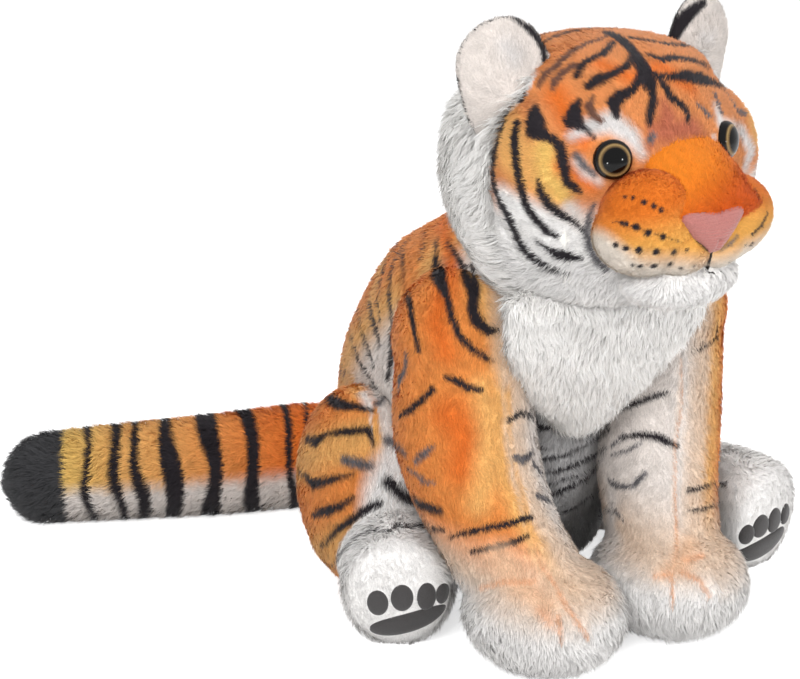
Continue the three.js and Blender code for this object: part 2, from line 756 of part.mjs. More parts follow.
// The point of the crease between a whisker pad and the chin, at a share of the chin's half width.
function creasePoint(share) {
  const x = share * chinHalves.x;
  const centre = padCentre(Math.sign(x) || 1);
  let [low, high] = [chinCentre.z, padCentre(1).z];
  for (let pass = 0; pass < 30; pass += 1) {
    const middle = (low + high) / 2;
    const chinAhead = eggFront(chinCentre, chinHalves, x, middle) < eggFront(centre, padHalves, x, middle);
    if (chinAhead) low = middle;
    else high = middle;
  }
  return vector(x, eggFront(centre, padHalves, x, low), low);
}

// The mouth: one thread down the crease between the pads, one along the crease over the chin.
const mouthShares = [-0.6, -0.4, -0.2, 0, 0.2, 0.4, 0.6];

function mouthThread(points) {
  const circle = new THREE.Shape().absarc(0, 0, MOUTH_THREAD_RADIUS, 0, Math.PI * 2);
  const curve = new THREE.CatmullRomCurve3(points);
  const steps = points.length + 1;
  return solidOf(new THREE.ExtrudeGeometry(circle, { steps, curveSegments: 3, extrudePath: curve }));
}

function mouthSolid() {
  const middle = creasePoint(0);
  const top = NOSE_CENTRE_HEIGHT - NOSE_HEIGHT / 2;
  const down = [top, (top + middle.z) / 2, middle.z].map((height) => (
    vector(0, eggFront(padCentre(1), padHalves, 0, height), height)));
  return mouthThread(down).add(mouthThread(mouthShares.map(creasePoint)));
}

function makeMuzzle() {
  const clearSkull = skull.solid(SEAM_GAP);
  const pads = [-1, 1].map((side) => whiskerPad(side, 0));
  const padSpaces = [-1, 1].map((side) => whiskerPad(side, SEAM_GAP));
  const bridge = bridgeSolid(0).subtract(clearSkull);
  const bridgeSpace = bridgeSolid(SEAM_GAP);
  addPart(head, 'muzzle_bridge', bridge, material(COLOURS.deepOrange));
  const rightPad = cut(pads[0], [clearSkull, bridgeSpace]);
  const leftPad = cut(pads[1], [clearSkull, bridgeSpace, padSpaces[0]]);
  addPart(head, 'whisker_pad_right', rightPad, material(COLOURS.white));
  addPart(head, 'whisker_pad_left', leftPad, material(COLOURS.white));
  const chin = cut(chinSolid(0), [clearSkull, ...padSpaces, bridgeSpace, NECK_SIDE]);
  addPart(head, 'chin', chin, material(COLOURS.white));
  const nose = cut(noseSolid(), [bridgeSpace, ...padSpaces, clearSkull]);
  addPart(head, 'nose', nose, material(COLOURS.pink, 0.8));
  const chinSpace = chinSolid(SEAM_GAP);
  const mouth = cut(mouthSolid(), [noseSolid(), chinSpace, ...padSpaces, clearSkull]);
  addPart(head, 'mouth_stitch', mouth, material(COLOURS.black));
}

// A shape turned on a lathe about the way out of the eye, and set on the skull there.
function turnedOnEye(side, profile, segments = 16) {
  const { point, normal } = skull.front(side * EYE_HALF_SPAN, EYE_HEIGHT);
  const points = profile.map(([radius, out]) => new THREE.Vector2(radius, out));
  const geometry = new THREE.LatheGeometry(points, segments);
  geometry.applyQuaternion(new THREE.Quaternion().setFromUnitVectors(Y_AXIS, normal));
  return solidOf(geometry.translate(point.x, point.y, point.z));
}

const eyeRadius = EYE_DIAMETER / 2;
const shankRadius = SHANK_DIAMETER / 2;
const eyeSeat = -EYE_DISC;
const lensTurnShares = [0, 0.25, 0.5, 0.75];

function makeEye(side) {
  const name = sideName(side);
  const lensBack = eyeSeat + EYE_DISC + SEAM_GAP * 2;
  const arc = lensTurnShares.map((turnShare) => {
    const angle = turnShare * Math.PI / 2;
    return [eyeRadius * Math.cos(angle), lensBack + EYE_BULGE * Math.sin(angle)];
  });
  arc.push([0, lensBack + EYE_BULGE]);
  addPart(head, `eye_lens_${name}`, turnedOnEye(side, [[0, lensBack], ...arc]), material(COLOURS.amber, 0.1));
  const discBack = eyeSeat + SEAM_GAP;
  const back = turnedOnEye(side, [
    [0, discBack - SHANK_LENGTH], [shankRadius, discBack - SHANK_LENGTH], [shankRadius, discBack],
    [eyeRadius, discBack], [eyeRadius, discBack + EYE_DISC], [0, discBack + EYE_DISC],
  ]);
  addPart(head, `eye_back_${name}`, back, material(COLOURS.plastic, 0.4));
  const washerFront = -WASHER_DEPTH;
  const washerInner = shankRadius + SEAM_GAP;
  const washer = turnedOnEye(side, [
    [washerInner, washerFront - WASHER_THICKNESS], [WASHER_DIAMETER / 2, washerFront - WASHER_THICKNESS],
    [WASHER_DIAMETER / 2, washerFront], [washerInner, washerFront],
    [washerInner, washerFront - WASHER_THICKNESS],
  ]);
  addPart(head, `eye_washer_${name}`, washer, material(COLOURS.plastic, 0.5));
}

// The eye's seat in the skin, the hole for its shank, and the room for the washer behind.
function eyeSpace(side) {
  const holeRadius = shankRadius + SEAM_GAP;
  const seatRadius = eyeRadius + SEAM_GAP;
  const roomRadius = WASHER_DIAMETER / 2 + SEAM_GAP;
  const roomFront = SEAM_GAP - WASHER_DEPTH;
  const roomBack = -SHANK_LENGTH - WASHER_DEPTH;
  return turnedOnEye(side, [
    [0, roomBack], [roomRadius, roomBack], [roomRadius, roomFront], [holeRadius, roomFront],
    [holeRadius, eyeSeat], [seatRadius, eyeSeat], [seatRadius, EYE_BULGE], [0, EYE_BULGE],
  ]);
}

function makeHead() {
  const slots = [earSlot(-1), earSlot(1)];
  const eyeSpaces = [eyeSpace(-1), eyeSpace(1)];
  const shell = cut(skull.solid(), [skullInside.solid(-SKIN), NECK_SIDE, ...slots, ...eyeSpaces]);
  const seam = vector(0, -FACE_SEAM_FORWARD, 0);
  const forward = Y_AXIS.clone().negate();
  const face = shell.intersect(beyond(seam.clone().setY(seam.y - SEAM_GAP / 2), forward));
  const ruff = shell.subtract(beyond(seam.clone().setY(seam.y + SEAM_GAP / 2), forward));
  addPart(head, 'face_skin', face, material(COLOURS.orange));
  addPart(head, 'ruff_skin', ruff, material(COLOURS.white));
  const filling = skullInside.solid(-SKIN - SEAM_GAP);
  const stuffing = cut(filling, [NECK_SIDE, earRoom(-1), earRoom(1), ...eyeSpaces]);
  addPart(head, 'head_stuffing', stuffing, material(COLOURS.fibre));
}

makeTorso();
makeBib();
makeTail();
makeHead();
makeMuzzle();
for (const side of [-1, 1]) {
  makeFrontLeg(side);
  makeHindLeg(side);
  makeSolePads(side);
  makeEar(side);
  makeEye(side);
}

export default tiger;
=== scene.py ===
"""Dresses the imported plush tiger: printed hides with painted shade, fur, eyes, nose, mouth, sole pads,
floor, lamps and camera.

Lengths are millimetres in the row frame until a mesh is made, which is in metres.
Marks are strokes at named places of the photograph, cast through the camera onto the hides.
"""
import math

import bpy
import numpy as np
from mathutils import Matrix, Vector
from mathutils.bvhtree import BVHTree
from mathutils.kdtree import KDTree


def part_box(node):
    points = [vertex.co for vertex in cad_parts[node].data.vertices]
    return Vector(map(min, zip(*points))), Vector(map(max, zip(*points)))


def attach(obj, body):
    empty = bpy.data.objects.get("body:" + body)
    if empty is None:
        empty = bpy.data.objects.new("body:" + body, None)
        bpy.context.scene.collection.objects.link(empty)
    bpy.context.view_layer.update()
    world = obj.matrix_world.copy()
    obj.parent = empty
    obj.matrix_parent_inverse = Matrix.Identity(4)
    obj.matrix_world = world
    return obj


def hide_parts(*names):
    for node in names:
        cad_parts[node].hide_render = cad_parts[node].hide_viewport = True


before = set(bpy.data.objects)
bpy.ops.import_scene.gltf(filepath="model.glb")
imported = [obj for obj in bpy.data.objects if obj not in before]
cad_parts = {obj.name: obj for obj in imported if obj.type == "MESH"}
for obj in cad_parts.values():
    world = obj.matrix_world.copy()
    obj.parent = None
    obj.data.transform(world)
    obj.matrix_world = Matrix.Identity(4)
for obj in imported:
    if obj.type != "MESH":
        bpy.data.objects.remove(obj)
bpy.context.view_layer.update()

MM = 0.001
SPARSE = 1.0
SIDES = {-1: "right", 1: "left"}

# Sizes that the CAD model has too.
TORSO = (172, 212, 232)
HEAD = (178, 162, 137)
FRONT_LEG = (86, 92, 185)
HAUNCH = (78, 112, 134)
FOOT_WIDTH, FOOT_HEIGHT = 66, 74
FOOT_LENGTH = {-1: 90, 1: 114}
FOOT_SPREAD = {-1: 28, 1: 57}
TAIL_LENGTH, TAIL_THICKNESS = 264, 66
EAR = (56, 14, 68)
EAR_ROOTS = {-1: (-56.5, -46.0, 88.0), 1: (60.0, -46.0, 88.0)}
BIB = (146, 32, 96)
BIB_AHEAD, BIB_TOP = -153, 232
SHOULDER_OUT, SHOULDER_AHEAD = 72, -93
HIP_OUT, HIP_AHEAD = 92, -16
TAIL_ROOT = (-8, 88)
FLOOR_CUT = 0.5
BRIDGE_WIDTH, BRIDGE_THICKNESS, BRIDGE_HEIGHT = 62, 32, 65
PAD_HALVES, PADS_HEIGHT = (36, 24, 25), 43
CHIN_HALVES, CHIN_HEIGHT = (36, 23, 16), 12
NECK = np.array([0.0, -90.0, 232.0])
NECK_TILT, HEAD_TURN, EAR_TURN = 15, 3, 12
SKULL_FRONT = -0.22 * HEAD[1] - HEAD[1] / 2
SKULL_SHIFT, BRIDGE_SHIFT = 3, 6
NOSE_HEIGHT = 43.5
FACE_SEAM = -56
EYE_RADIUS, EYE_BULGE = 11, 6.5

# Shapes that only the scene has: the face's fuller sides, and each whisker pad's three bulges.
FACE_SIDES = [((-59, -63, 68), (29, 28, 42)), ((63, -67, 63), (29, 28, 41))]
UPPER_BULGE_RISE = {-1: 9, 1: -2}
NOSE_HALVES = (21.5, 12.4)

# The photograph's camera, fitted to the object.
VIEW_SIZE = (800, 679)
CAMERA_AT = np.array([-630.93, -989.07, 537.0])
CAMERA_AIM = np.array([-76.2, -34.7, 170.0])
FOCAL_PIXELS = 1842.0

COLOURS = {
    "orange": (216, 134, 66),
    "deep": (214, 110, 42),
    "gold": (220, 166, 98),
    "yellow": (216, 178, 100),
    "rust": (176, 100, 74),
    "brown": (104, 72, 60),
    "black": (38, 34, 38),
    "smoke": (92, 90, 94),
    # painted shade on the belly between the front legs
    "belly_shade_grey": (158, 157, 157),
    "white": (232, 230, 228),
    "ivory": (216, 208, 202),
    "cream": (214, 190, 168),
    "peach": (220, 182, 150),
    # painted shade for the legs' seams and the paws' creases
    "crease_shade": (220, 164, 126),
    "bridge": (226, 130, 36),
    "bridge_low": (198, 84, 22),
    "pad_white": (222, 212, 200),
    "pad_gold": (218, 160, 78),
    "nose": (160, 101, 95),
    "mist": (206, 202, 200),
    "snow": (244, 242, 239),
    "pad_orange": (208, 110, 34),
    "face": (208, 134, 80),
}


def linear(colour):
    value = np.asarray(COLOURS.get(colour, colour) if isinstance(colour, str) else colour, float) / 255
    return np.where(value <= 0.04045, value / 12.92, ((value + 0.055) / 1.055) ** 2.4)


# Places and directions

def unit(vectors):
    vectors = np.asarray(vectors, float)
    return vectors / np.maximum(np.linalg.norm(vectors, axis=-1, keepdims=True), 1e-9)


def turn(axis, degrees):
    x, y, z = unit(axis)
    c, s = math.cos(math.radians(degrees)), math.sin(math.radians(degrees))
    return np.array([
        [c + x * x * (1 - c), x * y * (1 - c) - z * s, x * z * (1 - c) + y * s],
        [y * x * (1 - c) + z * s, c + y * y * (1 - c), y * z * (1 - c) - x * s],
        [z * x * (1 - c) - y * s, z * y * (1 - c) + x * s, c + z * z * (1 - c)],
    ])


NECK_AXIS = turn((1, 0, 0), NECK_TILT) @ np.array([0, 0, 1.0])
HEAD_SPIN = turn(NECK_AXIS, HEAD_TURN)


def from_head(points):
    return np.asarray(points, float) @ HEAD_SPIN.T + NECK


def to_head(points):
    return (np.asarray(points, float) - NECK) @ HEAD_SPIN


def mirrored(points, in_head):
    points = to_head(points) if in_head else np.asarray(points, float)
    flipped = points * np.array([-1, 1, 1])
    return from_head(flipped) if in_head else flipped


FORWARD = unit(CAMERA_AIM - CAMERA_AT)
RIGHT = unit(np.cross(FORWARD, (0, 0, 1)))
UP = np.cross(RIGHT, FORWARD)


def full_turn(count):
    """Angles in equal steps round a circle."""
    return np.linspace(0, 2 * math.pi, count, endpoint=False)


def distances_along(line):
    """How far along a line of points each of them lies."""
    return np.concatenate([[0], np.cumsum(np.linalg.norm(np.diff(line, axis=0), axis=1))])


def values_at(places, marks, values):
    """Rows of values, given at marks, worked out for other places."""
    return np.stack([np.interp(places, marks, values[:, k]) for k in range(values.shape[1])], axis=1)


def ray_through(x, y):
    return unit(FORWARD * FOCAL_PIXELS + RIGHT * (x - VIEW_SIZE[0] / 2) + UP * (VIEW_SIZE[1] / 2 - y))


# Forms

def curve_through(rows, t):
    """The point at t, from 0 to 1, of a centripetal Catmull-Rom curve through rows."""
    rows = np.asarray(rows, float)
    place = (len(rows) - 1) * t
    index = min(int(place), len(rows) - 2)
    weight = place - index
    before = rows[index - 1] if index > 0 else 2 * rows[0] - rows[1]
    after = rows[index + 2] if index + 2 < len(rows) else 2 * rows[-1] - rows[-2]
    a, b = rows[index], rows[index + 1]
    gaps = [max(np.sum((q - p) ** 2), 1e-8) ** 0.25 for p, q in ((before, a), (a, b), (b, after))]
    leave = ((a - before) / gaps[0] - (b - before) / (gaps[0] + gaps[1]) + (b - a) / gaps[1]) * gaps[1]
    reach = ((b - a) / gaps[1] - (after - a) / (gaps[1] + gaps[2]) + (after - b) / gaps[2]) * gaps[1]
    return (a + leave * weight + (3 * (b - a) - 2 * leave - reach) * weight ** 2
            + (2 * (a - b) + leave + reach) * weight ** 3)


def tube(rings, start, finish):
    """Rings of corners as one closed surface with a pole at each end: corners and faces."""
    rings = np.asarray(rings)
    count, sides = rings.shape[:2]
    corners = np.vstack([rings.reshape(-1, 3), [start], [finish]])
    first, last = count * sides, count * sides + 1
    faces = []
    for side in range(sides):
        after = (side + 1) % sides
        faces.append((first, after, side))
        faces.append((last, (count - 1) * sides + side, (count - 1) * sides + after))
        for ring in range(count - 1):
            low, high = ring * sides, (ring + 1) * sides
            faces.append((low + side, low + after, high + after, high + side))
    return corners, faces


def loft(centres, halves, domes, sideways=(1, 0, 0), level=False, sides=56, steps=40):
    """Oval sections along a curve, with a dome at each end."""
    def axes(t):
        if level:
            return np.array([0, 0, 1.0]), np.array([1.0, 0, 0]), np.array([0, 1.0, 0])
        low, high = max(t - 1e-4, 0), min(t + 1e-4, 1)
        along = unit(curve_through(centres, high) - curve_through(centres, low))
        wide = unit(np.asarray(sideways, float) - along * np.dot(sideways, along))
        return along, wide, np.cross(along, wide)

    def ring(t, shift, scale):
        along, wide, deep = axes(t)
        half = curve_through(halves, t) * scale
        angles = full_turn(sides)[:, None]
        middle = curve_through(centres, t) + along * shift
        return middle + wide * half[0] * np.cos(angles) + deep * half[1] * np.sin(angles)

    rings = [ring(t, 0, 1) for t in np.linspace(0, 1, steps + 1)]
    bends = np.linspace(0.12, 0.95, 8) * math.pi / 2
    for bend in bends:
        rings.insert(0, ring(0, -domes[0] * math.sin(bend), math.cos(bend)))
        rings.append(ring(1, domes[1] * math.sin(bend), math.cos(bend)))
    start = curve_through(centres, 0) - axes(0)[0] * domes[0]
    finish = curve_through(centres, 1) + axes(1)[0] * domes[1]
    return tube(rings, start, finish)


def egg(centre, halves, sides=56):
    bends = np.linspace(-1, 1, sides // 2 + 1)[1:-1] * math.pi / 2
    angles = full_turn(sides)
    rings = [[(math.cos(b) * math.cos(a), math.cos(b) * math.sin(a), math.sin(b)) for a in angles]
             for b in bends]
    corners, faces = tube(rings, (0, 0, -1), (0, 0, 1))
    return corners * np.asarray(halves) + np.asarray(centre), faces


def headed(form):
    """A form that is given in the head's own frame."""
    return from_head(form[0]), form[1]


def ovals(rows, width, depth):
    """Half sizes of oval sections; each row ends with their shares of a width and a depth."""
    return [(row[-2] * width, row[-1] * depth, 0) for row in rows]


def torso_form():
    rows = [[0.13, 0.0, 0.488, 0.462], [0.32, -0.009, 0.5, 0.5], [0.56, -0.036, 0.49, 0.505],
            [0.776, -0.15, 0.475, 0.475], [0.927, -0.26, 0.45, 0.43], [1.03, -0.37, 0.4, 0.34],
            [1.09, -0.42, 0.35, 0.27]]
    width, depth, height = TORSO
    return loft([(0, back * depth, up * height) for up, back, _, _ in rows],
                ovals(rows, width, depth), (0.13 * height, 10), level=True)


def skull_form():
    rows = [[0.04, 0.41, 0.42], [0.2, 0.47, 0.475], [0.42, 0.5, 0.5], [0.64, 0.49, 0.48], [0.83, 0.38, 0.38]]
    width, depth, height = HEAD
    return loft([(SKULL_SHIFT, -0.22 * depth, up * height) for up, _, _ in rows],
                ovals(rows, width, depth), (0.16 * height, 0.17 * height), level=True)


def head_forms():
    """The skull and the fuller sides of the face; the left one is fuller below the eye."""
    return [skull_form()] + [egg(centre, halves) for centre, halves in FACE_SIDES]


def front_leg_place(side, inward, forward, height):
    lean = -8 + 16 * height / FRONT_LEG[2]
    return np.array([side * (SHOULDER_OUT - inward * FRONT_LEG[0]) + lean,
                     SHOULDER_AHEAD - forward * FRONT_LEG[1], height])


def front_leg_forms(side):
    rows = [[0.0, 0.02, 0.93, 0.47, 0.49], [0.0, 0.1, 0.68, 0.49, 0.46],
            [0.12, 0.4, 0.4, 0.42, 0.4], [0.26, 0.72, 0.22, 0.38, 0.37]]
    width, depth, height = FRONT_LEG
    limb = loft([front_leg_place(side, i, f, up * height) for i, f, up, _, _ in rows],
                ovals(rows, width, depth), (10, 8))
    paw_halves = (0.54 * width, 0.53 * depth, 0.38 * width)
    paw = egg(front_leg_place(side, 0.29, 0.8, paw_halves[2] - FLOOR_CUT), paw_halves)
    shoulder = egg(front_leg_place(side, 0, 0, height), (width / 2, depth / 2, depth / 2))
    return [limb, paw, shoulder]


def hind_foot_rows(side):
    """Each row: forward, half width, half height, and how far outward on the right and on the left."""
    rows = [[-0.3, 0.4, 0.44, 0.0, 0.0], [0.4, 0.48, 0.5, 0.15, 0.42],
            [0.76, 0.5, 0.5, 0.5, 0.88], [1.0, 0.49, 0.485, 1.0, 1.0]]
    centres = [(side * (HIP_OUT + (left if side > 0 else right) * FOOT_SPREAD[side]),
                HIP_AHEAD - forward * FOOT_LENGTH[side], high * FOOT_HEIGHT - FLOOR_CUT)
               for forward, _, high, right, left in rows]
    halves = [(wide * FOOT_WIDTH, high * FOOT_HEIGHT, 0) for _, wide, high, _, _ in rows]
    return centres, halves


def haunch_middle(side):
    return np.array([side * HIP_OUT, HIP_AHEAD, HAUNCH[2] / 2 - FLOOR_CUT])


def hind_leg_forms(side):
    centres, halves = hind_foot_rows(side)
    foot = loft(centres, halves, (10, 0.13 * FOOT_WIDTH))
    return [foot, egg(haunch_middle(side), np.array(HAUNCH) / 2)]


TAIL_ROWS = [[0.0, 0.0, 0.5], [0.2, 0.12, 0.53], [0.44, 0.2, 0.51], [0.68, 0.3, 0.48], [0.86, 0.38, 0.44]]
TAIL_CENTRES = [(TAIL_ROOT[0] - right * TAIL_LENGTH, TAIL_ROOT[1] + back * TAIL_LENGTH,
                 half * TAIL_THICKNESS - FLOOR_CUT) for right, back, half in TAIL_ROWS]


def tail_forms():
    halves = [(half * TAIL_THICKNESS,) * 2 + (0,) for _, _, half in TAIL_ROWS]
    rope = loft(TAIL_CENTRES, halves, (10, 0.44 * TAIL_THICKNESS), sideways=(0, 0, 1))
    return [rope, egg((*TAIL_ROOT, TAIL_THICKNESS / 2 - FLOOR_CUT), (TAIL_THICKNESS / 2,) * 3)]


def bib_form():
    rows = [[0.08, 0.0, 0.5, 0.5], [0.38, 0.06, 0.46, 0.47], [0.74, 0.19, 0.3, 0.4], [1.0, 0.29, 0.12, 0.28]]
    width, thick, length = BIB
    return loft([(0, BIB_AHEAD + back * length, BIB_TOP - down * length) for down, back, _, _ in rows],
                ovals(rows, width, thick), (8, 8))


def ear_axes(side):
    """An ear's root in the head's frame, and its sideways and forward directions."""
    angle = math.radians(EAR_TURN) * side
    wide = np.array([math.cos(angle), math.sin(angle), 0])
    facing = np.array([math.sin(angle), -math.cos(angle), 0])
    return np.array(EAR_ROOTS[side]), wide, facing


def ear_form(side):
    rows = [[0.0, 0.0, 0.4, 0.5], [0.12, 0.34, 0.5, 0.5], [0.22, 0.6, 0.47, 0.46]]
    root, wide, _ = ear_axes(side)
    width, thick, height = EAR
    return loft([root + wide * side * out * height + np.array([0, 0, up * height]) for out, up, _, _ in rows],
                ovals(rows, width, thick), (thick / 2, 0.36 * height), sideways=wide)


def bridge_form():
    rows = [[0.24, -0.42, 0.44, 0.4], [0.0, 0.04, 0.53, 0.45], [-0.22, 0.56, 0.58, 0.35]]
    return loft([(BRIDGE_SHIFT, SKULL_FRONT - ahead * BRIDGE_THICKNESS, BRIDGE_HEIGHT + up * BRIDGE_WIDTH)
                 for up, ahead, _, _ in rows],
                ovals(rows, BRIDGE_WIDTH, BRIDGE_THICKNESS), (0.4 * BRIDGE_THICKNESS, 0.3 * BRIDGE_THICKNESS))


def whisker_pad_forms(side):
    """The pad's main bulge, the one on top and the one beside the nose's tip."""
    return [egg((side * 24, SKULL_FRONT - 2.6, PADS_HEIGHT), PAD_HALVES),
            egg((side * 26, SKULL_FRONT - 2, PADS_HEIGHT + UPPER_BULGE_RISE[side]), (29, 22, 24)),
            egg((side * 12, SKULL_FRONT - 11, PADS_HEIGHT - 10), (19, 18, 15))]


# Hides: smooth closed skins that carry the print, painted shade and the fur

HIDE_GROWTH, HIDE_FLOOR = 0.4, 0.6


class Hide:
    """A skin's mesh with what is read from it, its strokes and grooves, and a tree for casting."""

    def __init__(self, obj, body, in_head=False):
        self.obj, self.body, self.in_head = obj, body, in_head
        self.strokes, self.grooves = [], []
        self.read()

    def read(self):
        mesh = self.obj.data
        mesh.calc_loop_triangles()
        self.corners = np.zeros(len(mesh.vertices) * 3)
        mesh.vertices.foreach_get("co", self.corners)
        self.corners = self.corners.reshape(-1, 3) / MM
        self.triangles = np.zeros(len(mesh.loop_triangles) * 3, np.int32)
        mesh.loop_triangles.foreach_get("vertices", self.triangles)
        self.triangles = self.triangles.reshape(-1, 3)
        a, b, c = (self.corners[self.triangles[:, i]] for i in range(3))
        crosses = np.cross(b - a, c - a)
        self.areas = np.linalg.norm(crosses, axis=1) / 2
        self.normals = np.zeros_like(self.corners)
        for i in range(3):
            np.add.at(self.normals, self.triangles[:, i], crosses)
        self.normals = unit(self.normals)
        self.tree = BVHTree.FromPolygons(self.corners.tolist(), self.triangles.tolist())

    def move(self, corners):
        self.obj.data.vertices.foreach_set("co", (corners * MM).ravel())
        self.obj.data.update()
        self.read()

    def cast(self, start, direction):
        point, normal, _, _ = self.tree.ray_cast(Vector(start), Vector(direction))
        return (None, None) if point is None else (np.array(point), np.array(normal))

    def holds(self, point):
        near, normal, _, _ = self.tree.find_nearest(Vector(point))
        return (Vector(point) - near).dot(normal) < 0


def linked(name, data):
    """A new object in the scene."""
    obj = bpy.data.objects.new(name, data)
    bpy.context.scene.collection.objects.link(obj)
    return obj


def plain_object(name, corners, faces):
    mesh = bpy.data.meshes.new(name)
    faces = [tuple(face) for face in faces]
    mesh.from_pydata((np.asarray(corners) * MM).tolist(), [], faces, shade_flat=False)
    return linked(name, mesh)


def joined(forms):
    """The corners and faces of several forms as one."""
    corners, faces, base = [], [], 0
    for points, form_faces in forms:
        corners.append(points)
        faces += [tuple(base + i for i in face) for face in form_faces]
        base += len(points)
    return np.vstack(corners), faces


def applied(obj):
    """obj with its modifiers made part of its mesh."""
    graph = bpy.context.evaluated_depsgraph_get()
    mesh = bpy.data.meshes.new_from_object(obj.evaluated_get(graph))
    obj.modifiers.clear()
    obj.data = mesh
    return obj


def fused(name, forms, voxel=2.4, soften=5):
    """Closed forms joined into one skin with soft creases."""
    obj = plain_object(name, *joined(forms))
    remesh = obj.modifiers.new("remesh", "REMESH")
    remesh.mode = "VOXEL"
    remesh.voxel_size = voxel * MM
    remesh.use_smooth_shade = True
    smooth = obj.modifiers.new("smooth", "SMOOTH")
    smooth.factor, smooth.iterations = 0.5, soften
    return applied(obj)


def make_hide(name, forms, body, in_head=False, **options):
    if in_head:
        forms = [headed(form) for form in forms]
    hide = Hide(fused(name, forms, **options), body, in_head)
    hide.move(hide.corners + hide.normals * HIDE_GROWTH)
    return hide


def settle(hide):
    """Flattens what is on the ground."""
    corners = hide.corners.copy()
    corners[:, 2] = np.maximum(corners[:, 2], HIDE_FLOOR)
    hide.move(corners)


def make_hides():
    chin = egg((0, SKULL_FRONT, CHIN_HEIGHT), CHIN_HALVES)
    hides = {"torso": make_hide("torso_hide", [torso_form()], "torso", soften=2),
             "bib": make_hide("chest_bib_plush", [bib_form()], "torso", soften=4),
             "head": make_hide("head_hide", head_forms(), "head", True, soften=14, voxel=2.2),
             "bridge": make_hide("muzzle_bridge_velour", [bridge_form()], "head", True, voxel=1.3),
             "chin": make_hide("chin_plush", [chin], "head", True, voxel=1.6),
             "tail": make_hide("tail_hide", tail_forms(), "tail")}
    for side, name in SIDES.items():
        ear, front, hind = f"ear_{name}", f"front_leg_{name}", f"hind_leg_{name}"
        hides[f"pad_{name}"] = make_hide(f"whisker_pad_{name}_velour", whisker_pad_forms(side), "head", True,
                                         voxel=1.4)
        hides[ear] = make_hide(f"{ear}_plush", [ear_form(side)], ear, True, voxel=1.4, soften=2)
        hides[f"front_{name}"] = make_hide(f"{front}_hide", front_leg_forms(side), front, soften=12)
        hides[f"hind_{name}"] = make_hide(f"{hind}_hide", hind_leg_forms(side), hind, soften=12)
    for name in ("torso", "tail", "front_right", "front_left", "hind_right", "hind_left"):
        settle(hides[name])
    return hides


REPLACED = {
    "torso": ["torso_skin"], "bib": ["chest_bib"], "head": ["face_skin", "ruff_skin"],
    "bridge": ["muzzle_bridge"], "chin": ["chin"], "tail": ["tail_skin"],
}
for name in SIDES.values():
    REPLACED[f"pad_{name}"] = [f"whisker_pad_{name}"]
    REPLACED[f"ear_{name}"] = [f"ear_front_{name}", f"ear_back_{name}"]
    REPLACED[f"front_{name}"] = [f"front_leg_{name}_skin"]
    REPLACED[f"hind_{name}"] = [f"hind_leg_{name}_skin"]

hides = make_hides()
